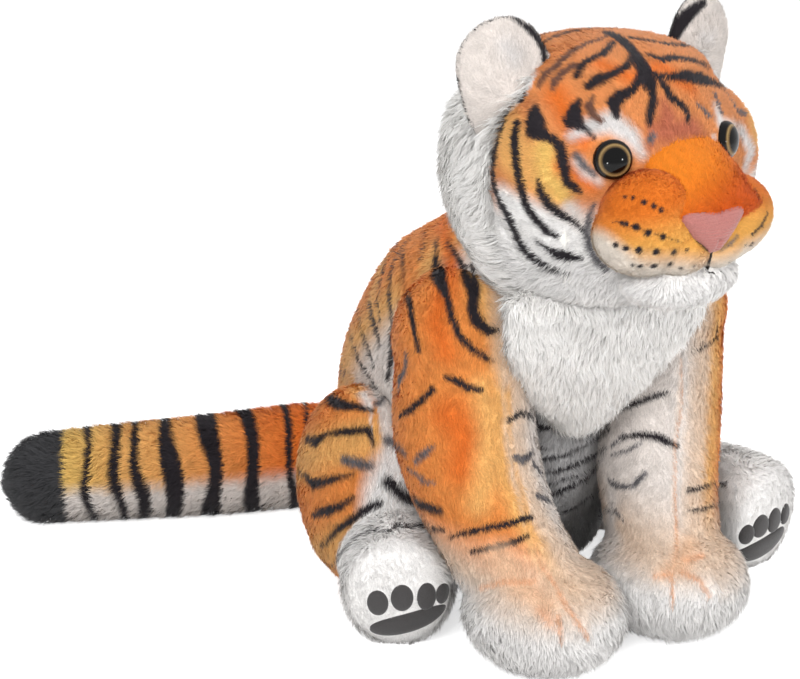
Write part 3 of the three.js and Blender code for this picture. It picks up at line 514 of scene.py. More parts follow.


# Marks of the print, and some painted shade where noted: a colour, the softness of the edge in mm, and places
# of the photograph, each as x, y and the mark's width in pixels

FACE_MARKS = [
    ("gold", 7, [(500, 112, 30), (512, 150, 44), (530, 172, 40), (560, 190, 30)]),
    ("yellow", 5, [(545, 150, 22), (548, 172, 22), (562, 196, 16)]),
    ("deep", 7, [(556, 96, 22), (566, 112, 24), (585, 144, 14)]),
    ("deep", 6, [(560, 166, 12), (582, 180, 16), (592, 188, 8)]),
    ("deep", 6, [(600, 64, 14), (632, 78, 16), (660, 66, 16), (690, 88, 14)]),
    ("white", 6, [(503, 196, 22), (520, 214, 40), (545, 232, 50), (575, 246, 44), (598, 262, 40)]),
    ("ivory", 4, [(570, 208, 14), (580, 222, 16)]),
    ("mist", 4, [(572, 136, 9), (588, 127, 18), (611, 122, 24), (631, 136, 18), (642, 154, 9)]),
    ("mist", 4, [(578, 162, 9), (586, 173, 9), (599, 181, 6)]),
    ("mist", 4, [(716, 108, 9), (722, 124, 17), (741, 132, 15), (751, 150, 14), (745, 166, 10)]),
    ("mist", 3, [(713, 140, 9), (707, 156, 6)]),
    ("rust", 6, [(664, 104, 12), (668, 118, 24), (664, 132, 26), (692, 128, 24), (704, 140, 10)]),
    ("rust", 4, [(652, 126, 10), (650, 146, 8)]),
    ("black", 1, [(509, 103, 9), (506, 115, 10), (503, 126, 9), (499, 138, 9), (496, 149, 9), (494, 160, 9)]),
    ("black", 1, [(494, 160, 9), (493.6, 172, 9), (495, 188, 10), (501, 203, 10), (510, 220, 12),
                  (517, 237, 10), (524, 249, 10), (537, 260, 9), (549, 267, 8), (569, 273, 3)]),
    ("black", 1, [(517, 124, 9), (515, 136, 10), (515, 147, 10), (516, 156, 10), (518, 174, 9), (522, 192, 9),
                  (527, 208, 9), (537, 220, 9), (547, 231, 9), (556, 236, 6)]),
    ("black", 1, [(538, 180, 3), (541, 193, 9), (549, 205, 10), (560, 214, 9), (573, 221, 6), (585, 232, 4)]),
    ("black", 1, [(536, 240, 3), (546, 248, 6), (558, 254, 12), (569, 256, 12), (581, 258, 4)]),
    ("black", 1, [(523, 91, 8), (522, 97, 10), (521, 102, 8)]),
    ("black", 1.2, [(535, 107, 8), (535, 120, 19), (536, 130, 22), (545, 136, 12), (554, 140, 10),
                    (560, 149, 12), (562, 158, 12), (563, 169, 10), (567, 182, 10), (575, 188, 9),
                    (581, 192, 4)]),
    ("black", 1.2, [(579, 100, 5), (575, 109, 14), (573, 120, 21), (580, 126, 10), (587, 130, 6),
                    (594, 138, 4)]),
    ("brown", 1.2, [(592, 98, 5), (589, 107, 9), (593, 116, 9), (600, 121, 8)]),
    ("brown", 1, [(610, 36, 8), (600, 40, 8), (588, 44, 9), (573, 51, 9), (565, 58, 9), (557, 66, 9),
                  (545, 75, 9), (539, 86, 5)]),
    ("black", 1.2, [(612, 44, 10), (604, 54, 10), (590, 60, 10), (581, 66, 10), (577, 76, 8)]),
    ("brown", 1, [(573, 66, 8), (562, 74, 9), (555, 81, 9), (553, 90, 5)]),
    ("black", 1.2, [(632, 58, 9), (626, 67, 10), (613, 74, 10), (598, 80, 14), (589, 86, 10)]),
    ("black", 1.2, [(607, 33, 11), (613, 36, 16), (622, 41, 15), (629, 48, 14), (637, 57, 15), (643, 69, 19),
                    (647, 80, 20), (652, 90, 11), (653, 100, 10), (650, 113, 10), (649, 123, 8)]),
    ("black", 1.2, [(640, 78, 10), (632, 90, 10), (620, 97, 15), (614, 103, 15), (616, 116, 8)]),
    ("black", 1, [(656, 75, 9), (664, 86, 9), (670, 97, 10), (682, 106, 10), (688, 115, 8), (687, 123, 5)]),
    ("black", 1, [(632, 39, 9), (652, 42, 8), (670, 45, 9), (688, 47, 8)]),
    ("black", 1, [(650, 56, 10), (661, 60, 11), (676, 58, 10), (690, 60, 9), (705, 66, 8), (715, 69, 5)]),
    ("black", 1, [(654, 75, 5), (670, 77, 8), (686, 76, 14), (701, 79, 15), (715, 84, 10), (729, 91, 9),
                  (738, 99, 5)]),
    ("smoke", 1.2, [(698, 106, 6), (708, 115, 8)]),
    ("smoke", 1, [(714, 94, 6), (721, 112, 7)]),
    ("smoke", 1, [(727, 95, 6), (737, 111, 7), (744, 114, 6)]),
    ("smoke", 1, [(757, 138, 7), (760, 153, 7)]),
    ("black", 1.5, [(560, 143, 6), (563, 157, 10), (566, 170, 10)]),
    ("smoke", 1.5, [(576, 155, 7), (585, 167, 7), (595, 174, 6)]),
    ("smoke", 1.5, [(650, 140, 9), (653, 136, 8)]),
    ("smoke", 1.6, [(594, 204, 4), (589, 216, 6), (587, 232, 8), (590, 248, 9), (598, 261, 9),
                    (606, 268, 6)]),
]
SHOULDER_MARKS = [
    ("deep", 8, [(440, 212, 16), (452, 262, 24), (436, 322, 24), (446, 352, 22)]),
    ("deep", 9, [(450, 415, 34), (466, 440, 34), (460, 470, 26)]),
    ("gold", 8, [(480, 300, 10), (488, 320, 8)]),
    ("gold", 8, [(482, 385, 18), (490, 430, 24), (486, 480, 26), (478, 505, 22)]),
    ("cream", 7, [(498, 300, 14), (500, 350, 12), (506, 380, 12)]),
    ("black", 1.2, [(437, 240, 5), (436, 258, 9), (438, 274, 18), (443, 288, 12), (448, 300, 8),
                    (452, 318, 8), (459, 336, 8), (472, 349, 8), (486, 358, 7), (492, 362, 4)]),
    ("black", 1.2, [(448, 242, 5), (457, 256, 8), (464, 268, 9), (468, 284, 11), (473, 296, 9)]),
    ("black", 1.3, [(473, 267, 7), (475, 290, 12), (472, 309, 12), (477, 322, 14), (488, 331, 11),
                    (497, 330, 5)]),
    ("black", 1.2, [(404, 247, 4), (403, 264, 7), (406, 287, 9), (411, 309, 9), (414, 329, 8),
                    (419, 350, 7)]),
    ("smoke", 1.2, [(430, 220, 4), (424, 238, 8), (421, 256, 5)]),
    ("black", 1.2, [(398, 254, 3), (391, 276, 5), (390, 304, 8), (393, 324, 8), (392, 353, 9),
                    (389, 380, 7)]),
    ("smoke", 1.2, [(407, 353, 5), (406, 369, 8), (400, 381, 8), (398, 394, 5)]),
    ("black", 1.2, [(433, 390, 8), (422, 400, 8), (412, 409, 9), (401, 416, 7)]),
    ("black", 1.2, [(446, 377, 5), (459, 382, 9), (468, 388, 9), (481, 390, 5)]),
    ("smoke", 1.5, [(433, 447, 4), (424, 454, 9), (416, 462, 7)]),
    ("smoke", 1.5, [(421, 482, 4), (434, 483, 4)]),
    ("black", 1, [(509, 420, 7), (520, 413, 8), (528, 415, 8), (537, 423, 5)]),
    ("smoke", 1.2, [(515, 457, 7), (522, 461, 9), (532, 453, 7)]),
    ("smoke", 1.2, [(533, 464, 7), (541, 475, 5)]),
    ("smoke", 1.2, [(537, 496, 7), (548, 501, 8)]),
    ("black", 0.9, [(451, 537, 4), (474, 531, 7), (498, 526, 7), (516, 522, 7), (530, 517, 7)]),
    ("black", 0.9, [(472, 552, 4), (496, 547, 7), (515, 542, 7), (528, 536, 4)]),
    ("peach", 9, [(500, 558, 22), (520, 584, 26), (548, 606, 20)]),
    # The tan lines here are painted shade along the leg's seam, across the paw and between its toes.
    ("crease_shade", 2.2, [(482, 588, 3), (503, 582, 4), (532, 582, 5)]),
    ("crease_shade", 1.8, [(539, 563, 2), (554, 584, 3), (566, 607, 4), (577, 622, 4), (586, 637, 3)]),
    ("crease_shade", 6, [(541, 612, 4), (551, 624, 4)]),
    ("crease_shade", 2, [(558, 618, 4), (561, 642, 3)]),
]
LEFT_LEG_MARKS = [
    ("ivory", 7, [(612, 430, 18), (612, 500, 22), (610, 550, 22)]),
    ("black", 1.2, [(616, 411, 5), (626, 407, 6), (640, 402, 6), (652, 397, 6), (667, 393, 4)]),
    ("smoke", 1.2, [(612, 446, 4), (623, 437, 5)]),
    ("black", 1.4, [(621, 439, 4), (638, 435, 7), (657, 437, 9), (676, 446, 7)]),
    ("smoke", 1.2, [(613, 455, 4), (628, 451, 4), (640, 444, 4)]),
    ("smoke", 1.1, [(610, 482, 6), (620, 487, 6), (634, 486, 6), (645, 474, 6)]),
    ("smoke", 1.1, [(606, 511, 5), (616, 512, 5), (623, 520, 3)]),
    ("black", 1, [(689, 491, 6), (705, 487, 5), (714, 484, 5), (726, 486, 4)]),
    ("black", 1, [(690, 511, 4), (705, 509, 5), (719, 503, 4)]),
    ("black", 1, [(717, 322, 3), (716, 338, 4), (707, 345, 4), (692, 354, 2)]),
    ("black", 1, [(725, 338, 5), (728, 348, 4)]),
    # The tan lines here are painted shade along the leg's seam, across the paw and between its toes.
    ("crease_shade", 1.2, [(681, 359, 1), (682, 400, 1.2), (675, 446, 1.4), (675, 501, 2), (677, 548, 3),
                       (672, 578, 3), (673, 606, 3)]),
    ("peach", 8, [(690, 545, 18), (680, 566, 20), (664, 572, 12)]),
    ("crease_shade", 3, [(686, 560, 5), (702, 556, 5)]),
    ("crease_shade", 2.5, [(682, 573, 4), (699, 581, 4), (708, 597, 3)]),
    ("crease_shade", 2.5, [(655, 577, 3), (668, 575, 4)]),
]
RIGHT_HAUNCH_MARKS = [
    ("gold", 6, [(352, 384, 18), (360, 396, 14)]),
    ("white", 4, [(364, 394, 10), (368, 406, 8)]),
    ("brown", 1.5, [(336, 373, 12), (345, 375, 9)]),
    ("black", 1.5, [(330, 399, 14), (340, 405, 14), (355, 407, 9), (372, 411, 5)]),
    ("black", 1.2, [(315, 398, 4), (314, 412, 5)]),
    ("black", 1.5, [(308, 440, 9), (317, 442, 12), (328, 434, 6), (347, 432, 9), (368, 430, 8),
                    (374, 446, 4)]),
    ("smoke", 2.5, [(345, 460, 10), (360, 464, 12), (370, 466, 9)]),
    ("black", 1.5, [(301, 472, 5), (314, 484, 13), (328, 481, 9), (353, 474, 4)]),
    ("black", 1.5, [(315, 515, 8), (328, 511, 12), (343, 505, 8), (353, 498, 5)]),
    ("black", 1.5, [(322, 547, 5), (338, 530, 8), (353, 520, 10), (367, 509, 10), (379, 503, 8)]),
    ("black", 1.5, [(331, 572, 8), (342, 555, 6), (357, 541, 6), (374, 531, 6), (382, 533, 4)]),
    ("smoke", 2, [(378, 404, 8), (384, 398, 6)]),
    ("smoke", 3, [(388, 441, 10), (397, 446, 10), (405, 453, 8)]),
    ("black", 2.5, [(388, 482, 12), (396, 490, 12), (405, 497, 13), (428, 507, 13), (440, 511, 10)]),
    ("black", 1.5, [(385, 534, 5), (397, 527, 6), (424, 528, 8), (444, 530, 6)]),
    ("smoke", 2, [(410, 470, 6), (422, 478, 6)]),
]
TORSO_MARKS = [
    ("orange", 8, [(446, 205, 16), (434, 222, 22), (422, 244, 28), (412, 268, 30), (408, 292, 24)]),
    ("gold", 7, [(418, 212, 8), (398, 238, 14), (382, 268, 18), (372, 300, 16)]),
    ("black", 1.0, [(430, 202, 2), (420, 208, 3), (404, 224, 4), (386, 249, 4), (373, 274, 4), (363, 298, 4),
                    (352, 320, 3)]),
    ("black", 1.0, [(430, 208, 2), (418, 231, 5), (402, 250, 5), (392, 272, 5)]),
    ("black", 1.0, [(416, 226, 2), (402, 240, 4), (386, 264, 5), (380, 285, 5), (378, 303, 5),
                    (380, 321, 4)]),
    ("black", 1.0, [(425, 234, 3), (425, 246, 6), (421, 260, 3)]),
    ("black", 1.1, [(370, 298, 4), (372, 315, 8), (377, 331, 9), (380, 345, 5)]),
    ("black", 1.0, [(359, 308, 3), (361, 328, 5), (368, 346, 6), (374, 368, 4)]),
    ("black", 1.0, [(350, 324, 3), (354, 346, 5), (360, 362, 6), (369, 376, 6), (377, 390, 4)]),
    ("black", 1.0, [(339, 350, 3), (344, 366, 4), (350, 375, 3)]),
    ("black", 0.9, [(539, 427, 8), (561, 427, 8), (573, 429, 3)]),
    ("black", 0.9, [(574, 439, 2), (591, 434, 4), (609, 424, 5)]),
    ("black", 0.9, [(539, 449, 5), (549, 448, 2)]),
    ("black", 0.9, [(540, 460, 4), (561, 457, 4), (580, 449, 4), (609, 431, 5)]),
    ("black", 0.9, [(545, 474, 4), (568, 468, 6), (587, 460, 6), (607, 448, 4)]),
    ("black", 0.9, [(549, 485, 3), (568, 479, 3), (587, 473, 3), (604, 458, 2)]),
    ("black", 0.9, [(550, 495, 6), (568, 488, 6), (587, 479, 5), (605, 455, 2)]),
    ("black", 0.9, [(558, 514, 3), (576, 507, 4), (591, 496, 3)]),
    ("black", 0.9, [(598, 516, 4), (601, 503, 3)]),
]
PAD_MARKS = {
    "pad_right": [[(625, 197, 4)], [(633, 198, 4)], [(644, 202, 6)], [(654, 206, 6)], [(661, 210, 6)],
                  [(622, 223, 5), (626, 224, 6)], [(636, 227, 8)], [(648, 233, 8)], [(663, 237, 7)],
                  [(613, 221, 1.6), (640, 229, 2), (681, 242, 1.6)], [(616, 245, 6)], [(626, 248, 7)],
                  [(639, 250, 8)], [(656, 252, 8)], [(674, 252, 7)], [(687, 250, 4)], [(633, 265, 4)],
                  [(640, 266, 6)], [(654, 266, 8)], [(670, 264, 6)], [(681, 268, 4)], [(694, 266, 3)]],
    "pad_left": [[(755, 190, 3), (757, 200, 5)], [(767, 214, 4), (761, 226, 5), (752, 234, 4)],
                 [(768, 234, 5)], [(761, 240, 7)], [(751, 244, 6)], [(745, 245, 4)], [(765, 252, 5)],
                 [(758, 253, 7)], [(750, 255, 6)], [(730, 261, 3)], [(738, 263, 3)], [(749, 264, 3)]],
}
# Painted shadow under the nose, on the top of each whisker pad beside it.
NOSE_SHADOW_MARKS = {
    "pad_right": [("black", 1.2, [(692, 231, 4), (699, 240, 8), (706, 246, 9), (710, 251, 3)])],
    "pad_left": [("smoke", 1.6, [(737, 236, 3), (731, 243, 5), (722, 249, 3)])],
}
MARKS = {"head": FACE_MARKS,
         # The mist on each ear's front is painted shade in the ear's hollow.
         "ear_right": [("mist", 8, [(505, 46, 12), (514, 56, 16)]),
                       ("black", 1.0, [(510, 18, 3), (519, 22, 7), (529, 29, 9), (537, 38, 10), (542, 47, 10),
                                       (544, 57, 9), (545, 68, 6)])],
         "ear_left": [("mist", 7, [(711, 38, 8), (702, 36, 6)]),
                      ("black", 1.0, [(704, 2, 8), (696, 8, 12), (687, 16, 15), (679, 26, 16),
                                      (673, 36, 14)])]}
for pad, rows in PAD_MARKS.items():
    MARKS[pad] = NOSE_SHADOW_MARKS[pad] + [("black", 0.6, row) for row in rows]
BODY_MARKS = SHOULDER_MARKS + LEFT_LEG_MARKS + RIGHT_HAUNCH_MARKS + TORSO_MARKS
BODY_HIDES = ["torso", "front_right", "front_left", "hind_right", "hind_left"]

# Seams that draw the skin in, and in whose grooves the fur is painted darker as shade: depth in mm, and places
# as above
GROOVE_SOFTNESS, GROOVE_SHARE = 2.6, 0.3
SEAMS = {
    "head": [(2.6, [(532, 74, 3), (515, 88, 3), (505, 112, 3), (495, 138, 3), (490, 165, 3), (491, 195, 3),
                    (498, 213, 3), (508, 237, 3), (520, 254, 3), (539, 268, 3), (563, 277, 3),
                    (588, 283, 3)])],
    "front_right": [(1.2, [(505, 385, 2), (508, 440, 2), (520, 500, 2), (536, 556, 2), (566, 607, 2),
                           (586, 640, 2)]), (5.0, [(549, 674, 3), (555, 655, 3), (560, 640, 2)]),
                           (4.0, [(484, 664, 3), (494, 650, 3), (502, 636, 2)])],
    "front_left": [(1.4, [(681, 350, 2), (682, 400, 2), (675, 446, 2), (675, 501, 2), (677, 558, 2)]),
                   (5.0, [(651, 626, 3), (653, 598, 3)]), (4.0, [(672, 645, 3), (673, 604, 3)]),
                   (4.5, [(705, 632, 3), (707, 598, 3)])],
    "hind_right": [(2.0, [(372, 400, 2), (374, 440, 2), (374, 465, 2), (378, 495, 2), (384, 534, 3)])],
}
# The hide that carries a stroke's mirror image.
TWIN = {"head": "head", "torso": "torso", "front_right": "front_left", "front_left": "front_right",
        "hind_right": "hind_left", "hind_left": "hind_right",
        "pad_right": "pad_left", "pad_left": "pad_right"}


class Stroke:
    """Places on a hide with a reach around each, a colour and the softness of its edge."""

    def __init__(self, colour, soft, places, reaches):
        self.colour, self.soft = colour, soft
        self.places, self.reaches = np.array(places), np.array(reaches)

    def cover(self, points, wander=0.0):
        """How much of the stroke each point has, from 0 to 1."""
        share = np.zeros(len(points))
        margin = self.reaches.max() + self.soft + 2
        near = np.all((points > self.places.min(0) - margin) & (points < self.places.max(0) + margin), axis=1)
        spots = points[near]
        if not len(spots):
            return share
        gap = np.full(len(spots), 1e9)
        for place, reach in zip(self.places, self.reaches):
            gap = np.minimum(gap, np.linalg.norm(spots - place, axis=1) - reach)
        if np.ndim(wander):
            gap = gap + wander[near]
        t = np.clip(0.5 - gap / (2 * self.soft), 0, 1)
        share[near] = t * t * (3 - 2 * t)
        return share


def filled(row, step=3.0):
    """A row of photograph places with more between them."""
    spots = [row[0]]
    for (x0, y0, w0), (x1, y1, w1) in zip(row, row[1:]):
        count = max(1, int(math.hypot(x1 - x0, y1 - y0) / step))
        spots += [(x0 + (x1 - x0) * k / count, y0 + (y1 - y0) * k / count, w0 + (w1 - w0) * k / count)
                  for k in range(1, count + 1)]
    return spots


def frontmost(names, x, y):
    """The first hide behind a place of the photograph: its name, and the place and direction on it."""
    hits = [(name, *hides[name].cast(CAMERA_AT, ray_through(x, y))) for name in names]
    hits = [hit for hit in hits if hit[1] is not None]
    return min(hits, key=lambda hit: np.linalg.norm(hit[1] - CAMERA_AT)) if hits else None


def cast_row(row, names):
    """Where a row of photograph places falls: for each hide the places, reaches and directions on it."""
    found = {name: [] for name in names}
    for x, y, width in filled(row):
        hit = frontmost(names, x, y)
        if hit:
            name, place, normal = hit
            scale = np.dot(place - CAMERA_AT, FORWARD) / FOCAL_PIXELS
            found[name].append((place, width * scale / 2, normal))
    return {name: spots for name, spots in found.items() if spots}


def cast_strokes():
    groups = [([name], marks) for name, marks in MARKS.items()] + [(BODY_HIDES, BODY_MARKS)]
    for names, marks in groups:
        for colour, soft, row in marks:
            for name, found in cast_row(row, names).items():
                places, reaches, _ = zip(*found)
                hides[name].strokes.append(Stroke(colour, soft, places, reaches))
                if name in TWIN:
                    twin = hides[TWIN[name]]
                    twin.strokes += twin_stroke(hides[name], twin, colour, soft, found)


def twin_stroke(hide, other, colour, soft, found):
    """The stroke's mirror image, where the camera doesn't see it."""
    places, reaches = [], []
    for place, reach, _ in found:
        spot = mirrored(place[None], hide.in_head)[0]
        near, direction, _, _ = other.tree.find_nearest(Vector(spot))
        near, direction = np.array(near), np.array(direction)
        if np.dot(direction, CAMERA_AT - near) < 0:
            places.append(near)
            reaches.append(reach)
    return [Stroke(colour, soft, places, reaches)] if places else []


def press_seams():
    for name, seams in SEAMS.items():
        hide = hides[name]
        depth = np.zeros(len(hide.corners))
        for deep, row in seams:
            for found in cast_row(row, [name]).values():
                places, reaches, _ = zip(*found)
                groove = Stroke("black", GROOVE_SOFTNESS, places, np.array(reaches) * GROOVE_SHARE)
                hide.grooves.append(groove)
                depth = np.maximum(depth, groove.cover(hide.corners) * deep)
        hide.move(hide.corners - hide.normals * depth[:, None])


# The print's ground colours, with painted shade on the belly

def blend_colours(low, high, share):
    share = np.clip(share, 0, 1)[:, None]
    share = share * share * (3 - 2 * share)
    low = linear(low) if isinstance(low, str) else low
    high = linear(high) if isinstance(high, str) else high
    return low * (1 - share) + high * share


def ramp(value, start, finish):
    return (value - start) / (finish - start)


def rising(value, start, finish):
    """0 up to start, 1 from finish on, and a straight slope between them."""
    return np.clip(ramp(value, start, finish), 0, 1)


def spine_ahead(heights):
    """Where the torso's middle line lies, from front to back, at each height."""
    return np.interp(heights, [0, 74, 130, 180, 215, 253], [0, -2, -9, -34, -57, -89])


def ground_torso(points, normals):
    round_way = np.arctan2(np.abs(points[:, 0]), points[:, 1] - spine_ahead(points[:, 2]))
    high = rising(points[:, 2], 150, 215) * 0.5
    colour = blend_colours("orange", "gold", ramp(round_way, 0.6 + high, 1.1 + high))
    colour = blend_colours(colour, "ivory", ramp(round_way, 1.05 + high, 1.5 + high))
    # The front between the front legs turns grey: painted shade on the white belly.
    return blend_colours(colour, "belly_shade_grey", ramp(round_way, 2.1, 2.6))


def crown_share(local):
    """The striped cloth over the crown and down the nape, between the ruff's two sides."""
    away = np.abs(local[:, 0] - SKULL_SHIFT)
    limit = np.interp(local[:, 2], [24, 60, 95, 125], [26, 38, 47, 60])
    over = np.maximum(rising(local[:, 2], 102, 116), rising(local[:, 1], -8, 14))
    return over * rising(away, limit + 5, limit - 5) * rising(local[:, 2], 18, 40)


def ground_head(points, normals):
    local = to_head(points)
    low = 34 + 0.12 * np.abs(local[:, 0])
    face = blend_colours("white", "face", ramp(local[:, 2], low, low + 22))
    back = blend_colours("white", "face", crown_share(local))
    return blend_colours(back, face, ramp(local[:, 1], FACE_SEAM + 1, FACE_SEAM - 1))


def ground_front(side):
    def ground(points, normals):
        outward = normals[:, 0] * side
        edge = 0.02 if side < 0 else 0.34
        colour = blend_colours("ivory", "cream", ramp(outward, edge - 0.7, edge - 0.25))
        colour = blend_colours(colour, "gold", ramp(outward, edge - 0.25, edge + 0.1))
        colour = blend_colours(colour, "orange", ramp(outward, edge + 0.05, edge + 0.4))
        lower = points[:, 2] - (points[:, 1] + 120) * 0.1
        colour = blend_colours("cream", colour, ramp(lower, 58, 96))
        colour = blend_colours(colour, "white", ramp(lower, 66, 44) * (0.75 + 0.25 * (outward < 0)))
        return blend_colours(colour, "white", ramp(lower, 50, 30))
    return ground


def ground_hind(side):
    def ground(points, normals):
        away = (points - haunch_middle(side)) / (np.array(HAUNCH) / 2)
        near = np.linalg.norm(away, axis=1)
        outward = normals[:, 0] * side
        tan = 0.4 + 0.5 * np.sin(points[:, 2] * 0.09 + points[:, 1] * 0.05)
        colour = blend_colours("orange", "gold", tan)
        colour = blend_colours(colour, "ivory", ramp(outward + 0.5 * normals[:, 1], 0.12, -0.2))
        colour = blend_colours(colour, "white", ramp(near, 1.08, 1.16))
        return blend_colours(colour, "white", ramp(-points[:, 1], 52, 64))
    return ground


def tail_lengths(points):
    """How far along the tail's middle line each point lies."""
    line = np.array([curve_through(TAIL_CENTRES, t) for t in np.linspace(0, 1, 60)])
    line = np.vstack([line, line[-1] + unit(line[-1] - line[-2]) * 0.44 * TAIL_THICKNESS])
    steps = np.linalg.norm(np.diff(line, axis=0), axis=1)
    starts = distances_along(line)
    best, lengths = np.full(len(points), 1e9), np.zeros(len(points))
    for index, step in enumerate(steps):
        along = (line[index + 1] - line[index]) / step
        reach = np.clip((points - line[index]) @ along, 0, step)
        gap = np.linalg.norm(points - line[index] - reach[:, None] * along, axis=1)
        closer = gap < best
        best[closer] = gap[closer]
        lengths[closer] = starts[index] + reach[closer]
    return lengths


# The tail's dark bands, each the column of the photograph it crosses and its width; the row they are read at.
TAIL_BANDS = [(85, 7), (116, 9), (139, 10), (171, 16), (212, 18), (253, 19), (293, 9), (309, 6)]
TAIL_TIP_FROM, TAIL_ROW = 62, 470
TIP_GREY = (60, 60, 62)


def ground_tail(points, normals):
    lengths = tail_lengths(points)
    hide = hides["tail"]

    def length_at(x):
        place, _ = hide.cast(CAMERA_AT, ray_through(x, TAIL_ROW))
        return tail_lengths(place[None])[0]

    colour = blend_colours("deep", "gold", ramp(lengths, 60, 200))
    colour = blend_colours(colour, "yellow", ramp(lengths, 190, 240))
    colour = blend_colours(colour, "ivory", ramp(normals[:, 2], 0.25, -0.2))
    wiggle = (2.2 * np.sin(normals[:, 2] * 3.1 + lengths * 0.05)
              + 1.4 * np.sin(normals[:, 0] * 4 + lengths * 0.3))
    for x, width in TAIL_BANDS:
        gap = np.abs(lengths - length_at(x) + wiggle) - width / 3.1
        colour = blend_colours(colour, "black", 0.5 - gap / 2.4)
    tip = length_at(TAIL_TIP_FROM)
    return blend_colours(colour, linear(TIP_GREY), ramp(lengths + wiggle * 0.3, tip - 1, tip + 1))


def ground_ear(side):
    _, _, facing = ear_axes(side)
    front = HEAD_SPIN @ facing

    def ground(points, normals):
        return blend_colours("black", "ivory", ramp(normals @ front, -0.15, 0.1))
    return ground


def ground_bridge(points, normals):
    local = to_head(points)
    return blend_colours("bridge_low", "bridge", ramp(local[:, 2] - 0.3 * local[:, 0], 52, 78))


def ground_pad(points, normals):
    local = to_head(points)
    height = local[:, 2] - 0.15 * np.abs(local[:, 0])
    colour = blend_colours("pad_white", "pad_gold", ramp(height, 18, 36))
    colour = blend_colours(colour, "pad_orange", ramp(height + 0.3 * np.abs(local[:, 0]), 46, 68))
    return blend_colours(colour, "pad_white", ramp(np.abs(local[:, 0]) - 0.9 * (height - 30), 46, 58))


def ground_plain(colour):
    return lambda points, normals: np.tile(linear(colour), (len(points), 1))


GROUNDS = {"torso": ground_torso, "head": ground_head, "tail": ground_tail, "bridge": ground_bridge,
           "pad_right": ground_pad, "pad_left": ground_pad,
           "bib": ground_plain("snow"), "chin": ground_plain("white"),
           "ear_right": ground_ear(-1), "ear_left": ground_ear(1),
           "front_right": ground_front(-1), "front_left": ground_front(1),
           "hind_right": ground_hind(-1), "hind_left": ground_hind(1)}


BACK_BANDS, BACK_FROM, BACK_STEP = 9, 34, 22
NAPE_ARCS, NAPE_MIDDLE = 7, (SKULL_SHIFT, -36, 70)
CAST_REACH = 300


def back_strokes():
    """Bands over the hidden back, in the manner of the flank's."""
    hide = hides["torso"]
    rows = []
    for index in range(BACK_BANDS):
        height = BACK_FROM + index * BACK_STEP
        for side in (-1, 1):
            places, reaches = [], []
            for round_way in np.linspace(0.04, 1.75, 90):
                low = height + 9 * math.cos(round_way * 1.6) + 3 * math.sin(index * 2.1 + round_way * 4)
                middle = spine_ahead(low)
                out = np.array([side * math.sin(round_way), math.cos(round_way), 0])
                place, normal = hide.cast(np.array([0, middle, low]) + out * CAST_REACH, -out)
                if place is not None and normal @ (CAMERA_AT - place) < 0:
                    places.append(place)
                    uneven = 1 + 0.3 * math.sin(index + round_way * 6)
                    reaches.append(2.6 * (1 - round_way / 2.1) * uneven + 0.5)
            rows.append(Stroke("black", 1.0, places, reaches))
    return rows


def nape_strokes():
    """Arcs over the crown and the nape, behind what the camera sees."""
    hide = hides["head"]
    rows = []
    middle = np.array(NAPE_MIDDLE)
    for index in range(NAPE_ARCS):
        for side in (-1, 1):
            places, reaches = [], []
            for share in np.linspace(0.06, 1, 50):
                bend = math.radians(14 + index * 15 - 9 * share)
                out = unit(np.array([side * 0.62 * share, math.sin(bend), math.cos(bend)]))
                place, _ = hide.cast(from_head([middle + out * CAST_REACH])[0], -(HEAD_SPIN @ out))
                if place is not None:
                    places.append(place)
                    reaches.append(2.4 * (1 - share ** 2) + 0.4)
            rows.append(Stroke("black", 1.0, places, reaches))
    return rows


def painted(name, points, normals, rng=None):
    colour = GROUNDS[name](points, normals)
    wander = rng.normal(0, 0.45, len(points)) if rng is not None else 0.0
    for stroke in hides[name].strokes:
        share = stroke.cover(points, wander)[:, None]
        colour = colour * (1 - share) + linear(stroke.colour) * share
    return colour


press_seams()
cast_strokes()
hides["torso"].strokes += back_strokes()
hides["head"].strokes += nape_strokes()


# Materials

def node_material(name, roughness, sheen, coat=0.0):
    material = bpy.data.materials.new(name)
    material.use_nodes = True
    shader = material.node_tree.nodes["Principled BSDF"]
    shader.inputs["Roughness"].default_value = roughness
    shader.inputs["Sheen Weight"].default_value = sheen
    shader.inputs["Sheen Roughness"].default_value = 0.5
    shader.inputs["Coat Weight"].default_value = coat
    shader.inputs["Coat Roughness"].default_value = 0.03
    shader.inputs["Coat IOR"].default_value = 1.28
    shader.inputs["Specular IOR Level"].default_value = 0.0 if coat else 0.2
    return material, shader


def noise_node(tree, scale, detail):
    place = tree.nodes.new("ShaderNodeTexCoord")
    noise = tree.nodes.new("ShaderNodeTexNoise")
    noise.inputs["Scale"].default_value = scale
    noise.inputs["Detail"].default_value = detail
    tree.links.new(place.outputs["Object"], noise.inputs["Vector"])
    return noise


def print_and_shade_colour(tree):
    """The colour that the mesh's print and painted shade give."""
    tint = tree.nodes.new("ShaderNodeAttribute")
    tint.attribute_name = "print"
    return tint.outputs["Color"]


def varied(tree, colour_socket, noise, low=0.86, high=1.1):
    """A colour made lighter and darker by a noise."""
    spread = tree.nodes.new("ShaderNodeMapRange")
    spread.inputs["From Min"].default_value, spread.inputs["From Max"].default_value = 0.3, 0.7
    spread.inputs["To Min"].default_value, spread.inputs["To Max"].default_value = low, high
    tree.links.new(noise.outputs["Fac"], spread.inputs["Value"])
    scaled = tree.nodes.new("ShaderNodeVectorMath")
    scaled.operation = "SCALE"
    tree.links.new(colour_socket, scaled.inputs[0])
    tree.links.new(spread.outputs["Result"], scaled.inputs["Scale"])
    return scaled.outputs["Vector"]


